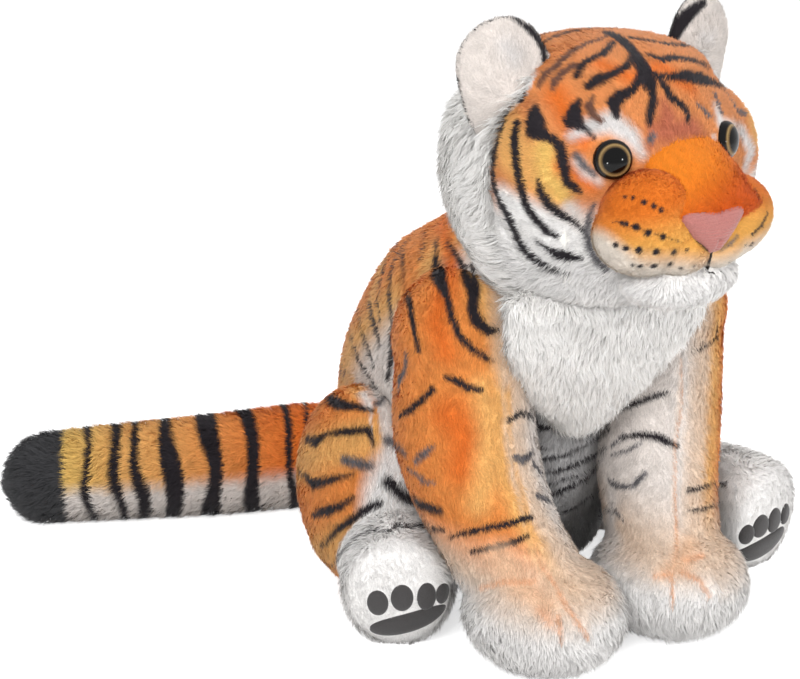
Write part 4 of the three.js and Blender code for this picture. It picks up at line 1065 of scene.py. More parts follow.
def tinted(tree, shader, colour_socket, scale, detail=4.0, **spread):
    """A shader coloured from a socket through a noise, which is returned."""
    noise = noise_node(tree, scale, detail)
    tree.links.new(varied(tree, colour_socket, noise, **spread), shader.inputs["Base Color"])
    return noise


def bump_from(tree, shader, noise, strength, distance):
    bump = tree.nodes.new("ShaderNodeBump")
    bump.inputs["Strength"].default_value = strength
    bump.inputs["Distance"].default_value = distance
    tree.links.new(noise.outputs["Fac"], bump.inputs["Height"])
    tree.links.new(bump.outputs["Normal"], shader.inputs["Normal"])


def printed_material(name, roughness, sheen, pile_scale):
    """Colour from the mesh's print and painted shade, with a fine pile."""
    material, shader = node_material(name, roughness, sheen)
    tree = material.node_tree
    bump_from(tree, shader, tinted(tree, shader, print_and_shade_colour(tree), pile_scale), 0.5, 0.0004)
    return material


def fur_material():
    material, shader = node_material("plush_fur", 0.8, 0.08)
    tree = material.node_tree
    tinted(tree, shader, print_and_shade_colour(tree), 160.0, 3.0, low=0.93, high=1.05)
    return material


def plain_material(name, colour, roughness, sheen, scale, relief):
    """One colour, with a noise of a scale per metre and a relief in metres."""
    material, shader = node_material(name, roughness, sheen)
    tree = material.node_tree
    paint = tree.nodes.new("ShaderNodeRGB")
    paint.outputs[0].default_value = (*linear(colour), 1)
    bump_from(tree, shader, tinted(tree, shader, paint.outputs[0], scale), 0.6, relief)
    return material


# The mesh's colour attribute holds the print together with the painted shade.
def put_print_and_shade(mesh, colours):
    values = np.ones((len(mesh.vertices), 4), np.float32)
    values[:, :3] = np.clip(colours, 0, 1)
    layer = mesh.color_attributes.new("print", "FLOAT_COLOR", "POINT")
    layer.data.foreach_set("color", values.ravel())


# The soles' pads, in shares of the foot's width: sideways, up, half width, half height

TOE_PADS = {-1: [(-0.168, -0.059, 0.1, 0.13), (0.056, 0.009, 0.105, 0.135), (0.28, 0.022, 0.088, 0.14),
                 (0.425, 0.035, 0.062, 0.1)],
            1: [(-0.37, -0.06, 0.08, 0.11), (-0.195, -0.01, 0.11, 0.125), (0.02, -0.01, 0.105, 0.135),
                (0.225, -0.01, 0.08, 0.115)]}
MAIN_PAD = {-1: (0.11, -0.262, 0.35, 0.11), 1: (-0.1, -0.28, 0.36, 0.12)}
MAIN_PAD_RISE, MAIN_PAD_CURL = {-1: 0.34, 1: 0.14}, 0.003
PAD_CROWN, PAD_ROOT = 2.3, -1.5


def sole_frame(side):
    """The middle of a sole, and its outward, sideways and upward directions."""
    centres, _ = hind_foot_rows(side)
    way = unit(curve_through(centres, 1) - curve_through(centres, 0.9998))
    wide = unit(np.array([1.0, 0, 0]) - way * way[0])
    high = np.cross(way, wide)
    high = high if high[2] > 0 else -high
    return np.array(centres[-1]) + way * 0.1 * FOOT_WIDTH, way, wide, high


def toe_outline(row):
    sideways, up, wide, high = (value * FOOT_WIDTH for value in row)
    return lambda share, angle: (sideways + wide * share * math.cos(angle),
                                 up + high * share * math.sin(angle))


def main_outline(side):
    """A wide bean that rises to the right and whose ends turn up."""
    sideways, up, wide, high = (value * FOOT_WIDTH for value in MAIN_PAD[side])

    def outline(share, angle):
        x = wide * math.copysign(abs(math.cos(angle)) ** 0.85, math.cos(angle)) * share
        y = high * math.copysign(abs(math.sin(angle)) ** 0.9, math.sin(angle)) * share
        return sideways + x, up + y + MAIN_PAD_RISE[side] * x + MAIN_PAD_CURL * x * x
    return outline


def main_place(side, u, v):
    """Where a place on the sole lies in the main pad, in shares of its half sizes."""
    sideways, up, wide, high = (value * FOOT_WIDTH for value in MAIN_PAD[side])
    x = u - sideways
    return x / wide, (v - up - MAIN_PAD_RISE[side] * x - MAIN_PAD_CURL * x * x) / high


def crease_line(rows, names):
    """Photograph places cast onto the frontmost of some hides."""
    hits = [frontmost(names, x, y) for x, y in rows]
    return np.array([hit[1] for hit in hits if hit])


# The mouth's two stitches: down from the nose, and along the lip.
MOUTH_LINES = [crease_line(rows, ["pad_right", "pad_left", "chin"]) for rows in (
    [(712, 246), (711, 252), (709.5, 259), (708, 266), (706, 272)],
    [(706, 272), (711, 273), (716, 273), (721, 272)])]


# Fur: one bent, tapered ribbon for each tuft of hair

ROOT_CLEAR, FLOOR_CLEAR = 1.2, 0.9
ROOT_DEPTH, STRAND_FLOOR = 0.6, 0.3
# In a seam's groove the fur is shorter, and darker by a share as painted shade in the crease.
GROOVE_SHORTER, GROOVE_SHADE = 0.55, 0.25
SOLE_DEPTH = 16
PAW_FULL, PAW_TOP = 25, 60


class Pile:
    """How fur stands on a hide: length and width in mm, tufts per square mm, the way it is combed, lift from
    the skin in radians, stray, clumping from 0 to 1, its shape and region, and a colour of its own."""

    def __init__(self, length, width, density, comb, lift=0.45, stray=0.2, clump=0.3, shape=None, region=None,
                 colour=None):
        self.length, self.width, self.density, self.comb, self.lift = length, width, density, comb, lift
        self.stray, self.clump, self.shape, self.region, self.colour = stray, clump, shape, region, colour


def scatter(hide, density, rng):
    """Evenly spread roots: places and directions on the hide."""
    count = int(hide.areas.sum() * density * SPARSE)
    picks = rng.choice(len(hide.areas), count, p=hide.areas / hide.areas.sum())
    u, v = rng.random(count), rng.random(count)
    over = u + v > 1
    u[over], v[over] = 1 - u[over], 1 - v[over]
    weights = np.stack([1 - u - v, u, v], axis=1)[:, :, None]
    corners = hide.triangles[picks]
    places = (hide.corners[corners] * weights).sum(1)
    return places, unit((hide.normals[corners] * weights).sum(1))


def outside(points, coverers):
    """Which points lie in none of the covering hides."""
    free = np.ones(len(points), bool)
    for hide in coverers:
        low, high = hide.corners.min(0), hide.corners.max(0)
        boxed = np.nonzero(free & np.all((points > low) & (points < high), axis=1))[0]
        for index in boxed:
            if hide.holds(points[index]):
                free[index] = False
    return free


def atlas_cells(roots):
    """Each strand's own cell in a square texture, with neighbours on the skin close to each other there."""
    away = roots - roots.mean(0)
    long, first, second = np.argsort(-np.ptp(away, axis=0))
    side = math.ceil(math.sqrt(len(roots)))
    rows = np.argsort(np.argsort(away[:, long], kind="stable")) // side
    order = np.lexsort((np.arctan2(away[:, first], away[:, second]), rows))
    cells = np.empty((len(roots), 2))
    cells[order, 0] = np.arange(len(roots)) % side
    cells[:, 1] = rows
    return cells / side, 1 / side


def put_cells(mesh, roots, faces):
    """The map for the strands' colours, with a small cell of its own for each strand."""
    cells, size = atlas_cells(roots)
    shape = np.array([(0.15, 0.15), (0.85, 0.15), (0.15, 0.6), (0.85, 0.6), (0.5, 0.9)])
    places = (cells[:, None] + shape[None] * size).reshape(-1, 2)
    layer = mesh.uv_layers.new(name="OFBake")
    layer.data.foreach_set("uv", places[faces.ravel()].astype(np.float32).ravel())


def strand_mesh(name, roots, normals, directions, lengths, widths, colours, rng):
    """Each strand is a ribbon with a knee: two corners at the root, two at the knee, one at the tip."""
    across = unit(np.cross(directions, normals) + 1e-6)
    twist = rng.normal(0, 0.5, len(roots))[:, None]
    across = unit(across + np.cross(directions, across) * twist)
    base = roots - normals * ROOT_DEPTH
    tip = base + directions * lengths[:, None]
    knee = base + unit(directions + normals * 0.4) * lengths[:, None] * 0.5
    half = across * widths[:, None] / 2
    rows = [base - half, base + half, knee - half * 0.8, knee + half * 0.8, tip]
    lit = normals + directions * 0.25
    sides = [unit(lit - across * 0.4), unit(lit + across * 0.4)] * 2 + [unit(lit)]
    # Painted shade and light: each strand's colour is darker at its root, where the strands shade each other,
    # and a touch lighter at its tip.
    root_shaded_colours = [colours * 0.8, colours * 0.8, colours, colours, colours * 1.04]
    corners = np.stack(rows, axis=1)
    corners[:, :, 2] = np.maximum(corners[:, :, 2], STRAND_FLOOR)
    pattern = np.array([(0, 1, 3), (0, 3, 2), (2, 3, 4)])
    faces = (pattern[None] + np.arange(len(roots))[:, None, None] * 5).reshape(-1, 3)
    mesh = mesh_from_arrays(name, corners.reshape(-1, 3), faces)
    put_print_and_shade(mesh, np.stack(root_shaded_colours, axis=1).reshape(-1, 3))
    put_cells(mesh, roots, faces)
    mesh.normals_split_custom_set_from_vertices(np.stack(sides, axis=1).reshape(-1, 3).astype(np.float32))
    return mesh


def mesh_from_arrays(name, corners, triangles):
    mesh = bpy.data.meshes.new(name)
    mesh.vertices.add(len(corners))
    mesh.vertices.foreach_set("co", (corners * MM).astype(np.float32).ravel())
    mesh.loops.add(len(triangles) * 3)
    mesh.loops.foreach_set("vertex_index", triangles.astype(np.int32).ravel())
    mesh.polygons.add(len(triangles))
    mesh.polygons.foreach_set("loop_start", np.arange(len(triangles), dtype=np.int32) * 3)
    mesh.update(calc_edges=True)
    return mesh


def laid(directions, normals):
    """Directions without the share of them that leaves the skin."""
    return directions - normals * np.sum(directions * normals, axis=1, keepdims=True)


def flat_along(directions, normals):
    return unit(laid(directions, normals))


def lumps(points, size, seed):
    """A smooth wandering value from -1 to 1 over space."""
    rng = np.random.default_rng(seed)
    value = np.zeros(len(points))
    for _ in range(5):
        wave = unit(rng.normal(size=3)) / size * rng.uniform(3, 7)
        value += np.sin(points @ wave + rng.uniform(0, 6.3))
    return value / 2.6


def gathered(roots, directions, lengths, share, rng):
    """Directions drawn toward those of a nearby tuft, so that the tips meet."""
    picks = rng.choice(len(roots), max(1, len(roots) // 14), replace=False)
    tree = KDTree(len(picks))
    for index, pick in enumerate(picks):
        tree.insert(Vector(roots[pick]), index)
    tree.balance()
    near = picks[[tree.find(Vector(root))[1] for root in roots]]
    tips = roots + directions * lengths[:, None]
    aims = roots[near] + directions[near] * lengths[:, None]
    return unit(tips + (aims - tips) * share - roots)


def grow_fur(fur_name, hide_name, pile, coverers, material, seed):
    """The fur of a hide, as an object that rides on its body."""
    hide = hides[hide_name]
    rng = np.random.default_rng(seed)
    roots, normals = scatter(hide, pile.density, rng)
    keep = outside(roots + normals * ROOT_CLEAR, coverers) & (roots[:, 2] > FLOOR_CLEAR)
    if pile.region is not None:
        keep &= rng.random(len(roots)) < pile.region(roots)
    roots, normals = roots[keep], normals[keep]
    lengths = pile.length * rng.uniform(0.7, 1.15, len(roots))
    lift = np.full(len(roots), pile.lift)
    if pile.shape is not None:
        scale, lift = pile.shape(roots, normals)
        lengths = lengths * scale
    comb = pile.comb(roots, normals)
    swirl = np.cross(normals, comb)
    sway = 0.5 * lumps(roots, 26, seed + 1) + 0.35 * lumps(roots, 9, seed + 2)
    along = unit(flat_along(comb + swirl * sway[:, None], normals) + 1e-6)
    directions = along * np.cos(lift)[:, None] + normals * np.sin(lift)[:, None]
    directions = unit(directions + rng.normal(0, pile.stray, directions.shape))
    directions = gathered(roots, directions, lengths, pile.clump, rng)
    for groove in hide.grooves:
        lengths = lengths * (1 - GROOVE_SHORTER * groove.cover(roots))
    middles = roots + laid(directions, normals) * lengths[:, None] * 0.5
    colours = painted(hide_name, middles, normals, rng) if pile.colour is None else linear(pile.colour)
    colours = colours * rng.uniform(0.9, 1.1, (len(roots), 1))
    colours = colours * (1 + 0.06 * lumps(roots, 7, seed + 3))[:, None]
    # Painted shade in the seams' grooves.
    for groove in hide.grooves:
        colours = colours * (1 - GROOVE_SHADE * groove.cover(roots))[:, None]
    widths = pile.width * rng.uniform(0.8, 1.2, len(roots))
    mesh = strand_mesh(fur_name, roots, normals, directions, lengths, widths, colours, rng)
    obj = linked(fur_name, mesh)
    mesh.materials.append(material)
    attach(obj, hide.body)


def eye_spots():
    """Where each eye sits on the skull, and the way it looks."""
    spots = []
    for side in SIDES:
        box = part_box(f"eye_back_{'left' if side > 0 else 'right'}")
        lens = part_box(f"eye_lens_{'left' if side > 0 else 'right'}")
        middle = (np.array(lens[0]) + np.array(lens[1])) / 2 / MM
        start = (np.array(box[0]) + np.array(box[1])) / 2 / MM
        spots.append((middle, unit(middle - start)))
    return spots


EYES = eye_spots()


def clear_of_eyes(points):
    free = np.ones(len(points), bool)
    for middle, way in EYES:
        away = points - middle
        beside = away - (away @ way)[:, None] * way
        free &= (np.linalg.norm(beside, axis=1) > EYE_RADIUS + 0.6) | (away @ way < -30)
    return free


def clear_of_mouth(points):
    """Nothing grows over the mouth's thread, and ever more away from it."""
    line = MOUTH_LINES[0]
    gap = np.min(np.linalg.norm(points[:, None] - line[None], axis=2), axis=1)
    return rising(gap, 1.3, 2.8)


def toward(vector):
    """A comb in one direction all over."""
    def comb(points, normals):
        return flat_along(np.tile(np.asarray(vector, float), (len(points), 1)), normals)
    return comb


def ruff_share(points):
    """How much of the ruff's long fur a place on the head has."""
    local = to_head(points)
    return rising(local[:, 1], FACE_SEAM - 1, FACE_SEAM + 2) * (1 - crown_share(local))


def face_region(points):
    return (1 - ruff_share(points)) * clear_of_eyes(points)


def comb_head(points, normals):
    """Outward from the bridge on the face, back and down on the ruff."""
    local = to_head(points)
    out = local - np.array([0, SKULL_FRONT - 10, 62])
    back = np.stack([local[:, 0] * 0.6, np.full(len(local), 40.0), -0.7 * (local[:, 2] - 30)], axis=1)
    share = rising(local[:, 1], FACE_SEAM - 4, FACE_SEAM + 4)[:, None]
    return flat_along((unit(out) * (1 - share) + unit(back) * share) @ HEAD_SPIN.T, normals)


def shape_face(points, normals):
    """Short, and shortest beside the eyes; longer on the lower jaw."""
    local = to_head(points)
    scale = 1 + 0.9 * rising(local[:, 2], 34, 14)
    for middle, _ in EYES:
        gap = np.linalg.norm(points - middle, axis=1) - EYE_RADIUS
        scale = scale * np.clip(0.4 + gap / 14, 0.4, 1)
    return scale, np.full(len(points), 0.42)


def shape_ruff(points, normals):
    """Shorter where the ruff meets the shoulders at the back."""
    local = to_head(points)
    low = rising(local[:, 2], 60, 20) * rising(local[:, 1], -50, -20)
    return 1 - 0.5 * low, np.full(len(points), 0.5)


def comb_ruff(points, normals):
    """Down and outward from the seam, so that the ruff falls over the shoulders."""
    local = to_head(points)
    fall = np.stack([local[:, 0] * 0.9, np.full(len(local), 12.0), -0.5 * local[:, 2] - 12], axis=1)
    return flat_along(unit(fall) @ HEAD_SPIN.T, normals)


def comb_ear(side):
    root, _, _ = ear_axes(side)
    middle = from_head((root + np.array([side * 8, 0, 26]))[None])[0]

    def comb(points, normals):
        return flat_along(points - middle + np.array([0, 0, 6]), normals)
    return comb


def shape_paw(points, normals):
    """Longer fur on the paws than up the leg."""
    share = rising(points[:, 2], PAW_TOP, PAW_FULL)
    return 1 + 0.9 * share, np.full(len(points), 0.42) + 0.15 * share


def shape_hind(side):
    """Longer on the foot, and as short as velour on its sole."""
    middle, way, _, _ = sole_frame(side)

    def shape(points, normals):
        share = rising(-points[:, 1], 50, 68)
        sole = rising(normals @ way, 0.55, 0.85) * rising((points - middle) @ way, -SOLE_DEPTH, -8)
        return (1 + 0.5 * share) * (1 - 0.55 * sole), np.full(len(points), 0.42) + 0.1 * share
    return shape


def hind_region(side):
    """Everywhere but under the sole's pads."""
    middle, way, wide, high = sole_frame(side)

    def region(points):
        away = points - middle
        u, v, ahead = away @ wide, away @ high, away @ way
        free = np.ones(len(points))
        for row in TOE_PADS[side]:
            across, up, half_wide, half_high = (value * FOOT_WIDTH for value in row)
            bare = ((u - across) / (half_wide + 0.6)) ** 2 + ((v - up - 1.2) / (half_high + 1.6)) ** 2 < 1
            free[bare & (ahead > -SOLE_DEPTH)] = 0
        x, y = main_place(side, u, v - 1.2)
        free[(np.abs(x) ** 2.3 + (y * 0.82) ** 2 < 1.12) & (ahead > -SOLE_DEPTH)] = 0
        return free
    return region


def shape_tail(points, normals):
    """Longer toward the tip."""
    share = rising(tail_lengths(points), 190, 290)
    return 1 + 0.5 * share, np.full(len(points), 0.6)


DOWN_LEG, ALONG_TAIL = (0, -0.35, -1.0), (-0.93, 0.3, -0.12)


def make_piles():
    """Every fur: the hide it grows on and how it stands."""
    piles = {
        "fur_torso": ("torso", Pile(5.5, 0.62, 0.6, toward((0, 0.5, -1)))),
        "fur_face": ("head", Pile(4.2, 0.46, 1.5, comb_head, shape=shape_face, region=face_region)),
        "fur_ruff": ("head", Pile(13.0, 0.42, 1.5, comb_ruff, lift=0.5, clump=0.5, shape=shape_ruff,
                                  region=ruff_share, colour="snow")),
        "fur_bib": ("bib", Pile(11.0, 0.48, 2.2, toward((0, 0, -1)), stray=0.25, clump=0.35)),
        "fur_chin": ("chin", Pile(7.0, 0.45, 2.4, toward((0, 0.5, -1)), lift=0.3, clump=0.4,
                                  region=clear_of_mouth)),
        "fur_bridge": ("bridge", Pile(3.2, 0.34, 3.6, toward((0, 0.4, 1)), lift=0.55, stray=0.35)),
        "fur_tail": ("tail", Pile(7.0, 0.58, 1.0, toward(ALONG_TAIL), lift=0.6, clump=0.4, shape=shape_tail)),
    }
    for side, name in SIDES.items():
        piles[f"fur_pad_{name}"] = (f"pad_{name}", Pile(
            2.6, 0.32, 3.4, toward((side, 0, -0.5)), lift=0.55, stray=0.3, clump=0.25, region=clear_of_mouth))
        piles[f"fur_ear_{name}"] = (f"ear_{name}", Pile(
            3.8, 0.34, 2.6, comb_ear(side), lift=0.4, stray=0.12, clump=0.2))
        piles[f"fur_front_{name}"] = (f"front_{name}", Pile(
            4.6, 0.58, 0.95, toward(DOWN_LEG), shape=shape_paw))
        piles[f"fur_hind_{name}"] = (f"hind_{name}", Pile(
            5.0, 0.55, 1.1, toward(DOWN_LEG), shape=shape_hind(side), region=hind_region(side)))
    return piles


# The hides whose inside a hide's fur keeps out of.
COVERERS = {
    "torso": ["head", "bib", "tail", "front_right", "front_left", "hind_right", "hind_left"],
    "head": ["torso", "bridge", "chin", "pad_right", "pad_left", "ear_right", "ear_left"],
    "bib": ["torso", "head", "front_right", "front_left", "chin"],
    "chin": ["head", "pad_right", "pad_left", "torso", "bridge"],
    "bridge": ["head", "pad_right", "pad_left"],
    "pad_right": ["head", "pad_left", "bridge"], "pad_left": ["head", "pad_right", "bridge"],
    "ear_right": ["head"], "ear_left": ["head"],
    "front_right": ["torso", "bib", "hind_right", "head"],
    "front_left": ["torso", "bib", "hind_left", "head"],
    "hind_right": ["torso", "front_right"], "hind_left": ["torso", "front_left"],
    "tail": ["torso", "hind_right"],
}


def dress_hides():
    skins = {"short": printed_material("velour_print_and_shade", 0.85, 0.08, 1100.0),
             "long": printed_material("backing_print_and_shade", 0.9, 0.15, 900.0)}
    for name, hide in hides.items():
        put_print_and_shade(hide.obj.data, painted(name, hide.corners, hide.normals))
        short = name in ("bridge", "pad_right", "pad_left")
        hide.obj.data.materials.append(skins["short" if short else "long"])
        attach(hide.obj, hide.body)
        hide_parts(*REPLACED[name])
    fur = fur_material()
    for index, (fur_name, (name, pile)) in enumerate(make_piles().items()):
        grow_fur(fur_name, name, pile, [hides[other] for other in COVERERS[name]], fur, 100 + 10 * index)


dress_hides()


# Eyes, nose, mouth and sole pads

def finished(obj, body, nodes, material):
    obj.data.materials.append(material)
    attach(obj, body)
    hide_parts(*nodes)


def disc_map(obj, middle, wide, high, reach):
    """Flat texture places for a piece seen from its front."""
    layer = obj.data.uv_layers.new(name="OFBake")
    corners = np.array([obj.data.vertices[loop.vertex_index].co for loop in obj.data.loops]) / MM - middle
    places = np.stack([corners @ wide, corners @ high], axis=1) / (2 * reach) + 0.5
    layer.data.foreach_set("uv", places.astype(np.float32).ravel())


def lens_frame(side_name):
    """The middle of the lens's flat back, and the way the eye looks."""
    corners = np.array([v.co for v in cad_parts[f"eye_lens_{side_name}"].data.vertices]) / MM
    middle = corners.mean(0)
    way = np.linalg.eigh(np.cov((corners - middle).T))[1][:, 0]
    way = way * np.sign(way @ (middle - from_head([(0, -36, 70)])[0]))
    return middle + way * ((corners - middle) @ way).min(), way


# Colours of the eye by the distance from its middle, in shares of its radius.
EYE_RINGS = [(0.0, (4, 4, 4)), (0.6, (4, 4, 4)), (0.63, (44, 34, 22)), (0.67, (84, 66, 42)),
             (0.72, (116, 94, 58)), (0.77, (140, 116, 76)), (0.81, (92, 72, 44)), (0.84, (40, 32, 20)),
             (0.87, (8, 7, 7)), (1.0, (6, 6, 6))]
EYE_LIFT, EYE_ROOT = 0.15, 0.5


def make_eye(side_name):
    """A glossy dome with the iris and the pupil printed on it."""
    back, way = lens_frame(side_name)
    wide = unit(np.cross((0, 0, 1), way))
    high = np.cross(way, wide)
    shares = np.sin(np.linspace(0.02, 1, 44) * math.pi / 2)
    angles = full_turn(72)

    def ring(middle, share):
        return [middle + (wide * math.cos(a) + high * math.sin(a)) * EYE_RADIUS * share for a in angles]

    rings = [ring(back + way * (EYE_BULGE * math.sqrt(max(1 - share ** 2, 0)) + EYE_LIFT), share)
             for share in shares]
    rings.append(ring(back - way * EYE_ROOT, 0.98))
    corners, faces = tube(rings, back + way * (EYE_BULGE + EYE_LIFT), back - way * EYE_ROOT)
    obj = plain_object(f"eye_{side_name}_glossy", corners, faces)
    away = corners - back
    radius = np.linalg.norm(away - (away @ way)[:, None] * way, axis=1) / EYE_RADIUS
    marks = [mark for mark, _ in EYE_RINGS]
    tints = np.array([linear(tint) for _, tint in EYE_RINGS])
    put_print_and_shade(obj.data, values_at(radius, marks, tints))
    disc_map(obj, back, wide, high, EYE_RADIUS * 1.1)
    material, shader = node_material(f"eye_{side_name}_glass", 0.3, 0.0, 1.0)
    tinted(material.node_tree, shader, print_and_shade_colour(material.node_tree), 1400.0)
    finished(obj, "head", [f"eye_lens_{side_name}"], material)


NOSE_BACK, NOSE_BRIM, NOSE_DOME = 15, 25, 8.4


def nose_outline():
    """A rounded triangle, point down, in shares of its half sizes."""
    start = np.array([-1, 0.7])
    rows = [((-1, 1), (-0.7, 1)), ((0, 1), (0.7, 1)), ((1, 1), (1, 0.7)),
            ((0.7, -0.2), (0.2, -0.9)), ((0, -1.1), (-0.2, -0.9)), ((-0.7, -0.2), (-1, 0.7))]
    points = []
    for bend, finish in rows:
        bend, finish = np.array(bend), np.array(finish)
        for t in np.linspace(0, 1, 40, endpoint=False):
            points.append(start * (1 - t) ** 2 + bend * 2 * t * (1 - t) + finish * t * t)
        start = finish
    points = np.array(points)
    lengths = distances_along(points)
    return values_at(np.linspace(0, lengths[-1], 96, endpoint=False), lengths, points)


def make_nose():
    """A domed triangle of ribbed cloth, with a dip and a line down its middle."""
    outline = nose_outline() * np.array(NOSE_HALVES)
    rings = []
    profile = [(1.0, NOSE_BACK), (1.02, 20), (1.02, NOSE_BRIM)]
    profile += [(math.cos(b) * 1.02, NOSE_BRIM + NOSE_DOME * math.sin(b)) for b in np.linspace(0.06, 1.5, 40)]
    for scale, ahead in profile:
        ring = []
        for x, z in outline * scale:
            dip = (1.6 * math.exp(-(x / 5) ** 2 - ((z - 15) / 6) ** 2)
                   + 1.4 * math.exp(-(x / 1.6) ** 2) * (z < -3))
            rib = 0.2 * math.sin(z * 3.4)
            ring.append((x, SKULL_FRONT - ahead - rib + dip, NOSE_HEIGHT + z))
        rings.append(ring)
    form = tube(rings, (0, SKULL_FRONT - NOSE_BACK, NOSE_HEIGHT), (0, SKULL_FRONT - 33.4, NOSE_HEIGHT))
    obj = plain_object("nose_velour", *headed(form))
    finished(obj, "head", ["nose"],
             plain_material("nose_cord", "nose", 0.6, 0.3, 1100.0, 0.0004))


THREAD_STEP, THREAD_RADII = 0.6, (1.0, 0.6)


def thread(points, radius):
    """A twisted thread along points."""
    points = np.asarray(points)
    lengths = distances_along(points)
    even = np.linspace(0, lengths[-1], max(8, int(lengths[-1] / THREAD_STEP)))
    line = values_at(even, lengths, points)
    ways = unit(np.gradient(line, axis=0))
    rings = []
    for place, way, length in zip(line, ways, even):
        side = unit(np.cross(way, (0.2, -1, 0.1)))
        over = np.cross(way, side)
        rings.append([place + (side * math.cos(a) + over * math.sin(a)) * radius
                      * (1 + 0.18 * math.cos(3 * a + length * 2)) for a in full_turn(12)])
    return tube(rings, line[0] - ways[0] * radius * 0.6, line[-1] + ways[-1] * radius * 0.6)


def make_mouth():
    forms = [thread(line, radius) for line, radius in zip(MOUTH_LINES, THREAD_RADII)]
    obj = plain_object("mouth_thread", *joined(forms))
    finished(obj, "head", ["mouth_stitch"],
             plain_material("thread", (34, 30, 30), 0.7, 0.1, 2500.0, 0.0002))


def make_sole_pad(name, side, outline, material, node):
    """A low cushion that follows the sole inside an outline."""
    middle, way, wide, high = sole_frame(side)
    hide = hides[f"hind_{SIDES[side]}"]
    angles = full_turn(56)

    def place(share, angle, rise):
        u, v = outline(share, angle)
        start = middle + wide * u + high * v + way * 30
        hit, _ = hide.cast(start, -way)
        base = hit if hit is not None else middle + wide * u + high * v
        return base + way * rise

    rings = [[place(share, a, PAD_CROWN * math.sqrt(max(1 - share ** 3, 0)) + 0.3) for a in angles]
             for share in (0.08, 0.2, 0.35, 0.5, 0.64, 0.76, 0.86, 0.93, 0.98, 1.0)]
    rings.append([place(1.0, a, PAD_ROOT) for a in angles])
    corners, faces = tube(rings, place(0, 0, 2.6), place(0, 0, PAD_ROOT))
    finished(plain_object(name, corners, faces), hide.body, [node], material)


def make_sole_pads():
    material = plain_material("pad_cloth", (64, 62, 62), 0.85, 0.3, 1600.0, 0.0003)
    for side, side_name in SIDES.items():
        for number, row in enumerate(TOE_PADS[side], 1):
            make_sole_pad(f"sole_toe_{number}_{side_name}", side, toe_outline(row), material,
                          f"toe_pad_{number}_{side_name}")
        make_sole_pad(f"sole_main_{side_name}", side, main_outline(side), material, f"main_pad_{side_name}")


def dress_inside():
    """The stuffing and fittings that stay as the CAD made them."""
    fibre = plain_material("fibre_fill", (242, 240, 234), 0.95, 0.2, 260.0, 0.001)
    cotton = plain_material("bag_cotton", (228, 221, 207), 0.9, 0.1, 1900.0, 0.0003)
    plastic = plain_material("black_plastic", (29, 27, 26), 0.4, 0.0, 900.0, 0.0001)
    for name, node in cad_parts.items():
        if node.hide_render:
            continue
        node.data.materials.clear()
        node.data.materials.append(fibre if "stuffing" in name else cotton if "bag" in name else plastic)


for side_name in SIDES.values():
    make_eye(side_name)
make_nose()
make_mouth()
make_sole_pads()
dress_inside()


# Floor, light and camera

WORLD_LIGHT = 0.45
FLOOR_GLOW = 0.66
LAMPS_AIM = (0, -0.05, 0.18)
FLOOR_REACH = 6000
SENSOR_WIDTH = 36
# Each lamp's place in metres, power in watts and panel's width in metres; the sparks are for the eyes.
LAMPS = {
    "key": ((-1.5, -1.3, 1.5), 36, 0.9),
    "fill": ((1.0, -1.8, 1.0), 20, 0.8),
    "top": ((0.1, 0.5, 1.9), 18, 1.6),
    "spark_left": ((-1.0, -1.44, 0.14), 2.2, 0.13),
    "spark_right": ((0.42, -1.7, 0.42), 2.2, 0.13),
}


def seen_rays(tree):
    """1 for camera, glossy and transmission rays."""
    paths = tree.nodes.new("ShaderNodeLightPath")
    socket = paths.outputs["Is Camera Ray"]
    for name in ("Is Glossy Ray", "Is Transmission Ray"):
        either = tree.nodes.new("ShaderNodeMath")
        either.operation = "MAXIMUM"
        tree.links.new(socket, either.inputs[0])
        tree.links.new(paths.outputs[name], either.inputs[1])
        socket = either.outputs[0]
    return socket


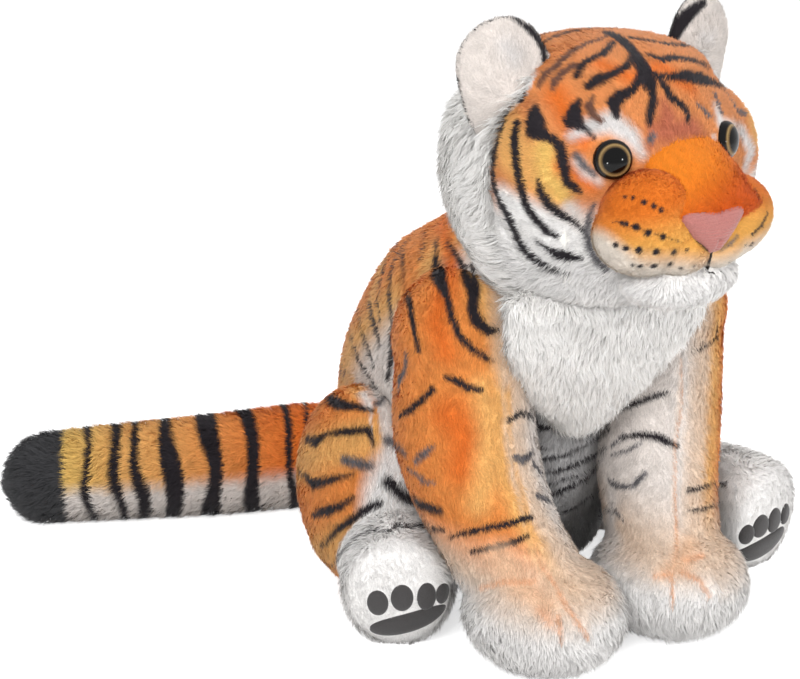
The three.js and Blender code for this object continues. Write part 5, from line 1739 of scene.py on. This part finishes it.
def make_floor():
    """A pale floor: for the camera it also glows, so that it reads as white and keeps its shadow."""
    corners = [(x * FLOOR_REACH, y * FLOOR_REACH, 0) for x, y in ((-1, -1), (1, -1), (1, 1), (-1, 1))]
    floor = plain_object("floor", corners, [(0, 1, 2, 3)])
    material = bpy.data.materials.new("pale_floor")
    material.use_nodes = True
    tree = material.node_tree
    shader = tree.nodes["Principled BSDF"]
    shader.inputs["Base Color"].default_value = (0.8, 0.8, 0.8, 1)
    shader.inputs["Roughness"].default_value = 0.9
    shader.inputs["Specular IOR Level"].default_value = 0.0
    glow = tree.nodes.new("ShaderNodeEmission")
    scale = tree.nodes.new("ShaderNodeMath")
    scale.operation = "MULTIPLY"
    scale.inputs[1].default_value = FLOOR_GLOW
    tree.links.new(seen_rays(tree), scale.inputs[0])
    tree.links.new(scale.outputs[0], glow.inputs["Strength"])
    both = tree.nodes.new("ShaderNodeAddShader")
    tree.links.new(shader.outputs[0], both.inputs[0])
    tree.links.new(glow.outputs[0], both.inputs[1])
    tree.links.new(both.outputs[0], tree.nodes["Material Output"].inputs["Surface"])
    floor.data.materials.append(material)


def make_world():
    world = bpy.data.worlds.new("studio")
    bpy.context.scene.world = world
    world.use_nodes = True
    tree = world.node_tree
    ground = tree.nodes["Background"]
    ground.inputs["Color"].default_value = (1, 1, 1, 1)
    mix = tree.nodes.new("ShaderNodeMapRange")
    mix.inputs["To Min"].default_value, mix.inputs["To Max"].default_value = WORLD_LIGHT, 1.0
    tree.links.new(seen_rays(tree), mix.inputs["Value"])
    tree.links.new(mix.outputs["Result"], ground.inputs["Strength"])


def area_lamp(name, place, power, size):
    """A square panel that shines on the toy; only the sparks are mirrored."""
    lamp = bpy.data.lights.new(name, "AREA")
    lamp.energy, lamp.size = power, size
    obj = linked(name, lamp)
    obj.location = Vector(place)
    obj.visible_glossy = name.startswith("spark")
    obj.rotation_euler = (Vector(LAMPS_AIM) - Vector(place)).to_track_quat("-Z", "Y").to_euler()


def make_camera():
    data = bpy.data.cameras.new("camera")
    data.sensor_width = SENSOR_WIDTH
    data.lens = SENSOR_WIDTH * FOCAL_PIXELS / VIEW_SIZE[0]
    camera = linked("camera", data)
    camera.location = Vector(CAMERA_AT * MM)
    camera.rotation_euler = Vector(FORWARD).to_track_quat("-Z", "Y").to_euler()
    bpy.context.scene.camera = camera


make_floor()
make_world()
for lamp_name, (place, power, size) in LAMPS.items():
    area_lamp(lamp_name, place, power, size)
make_camera()
bpy.context.scene.view_settings.view_transform = "Standard"
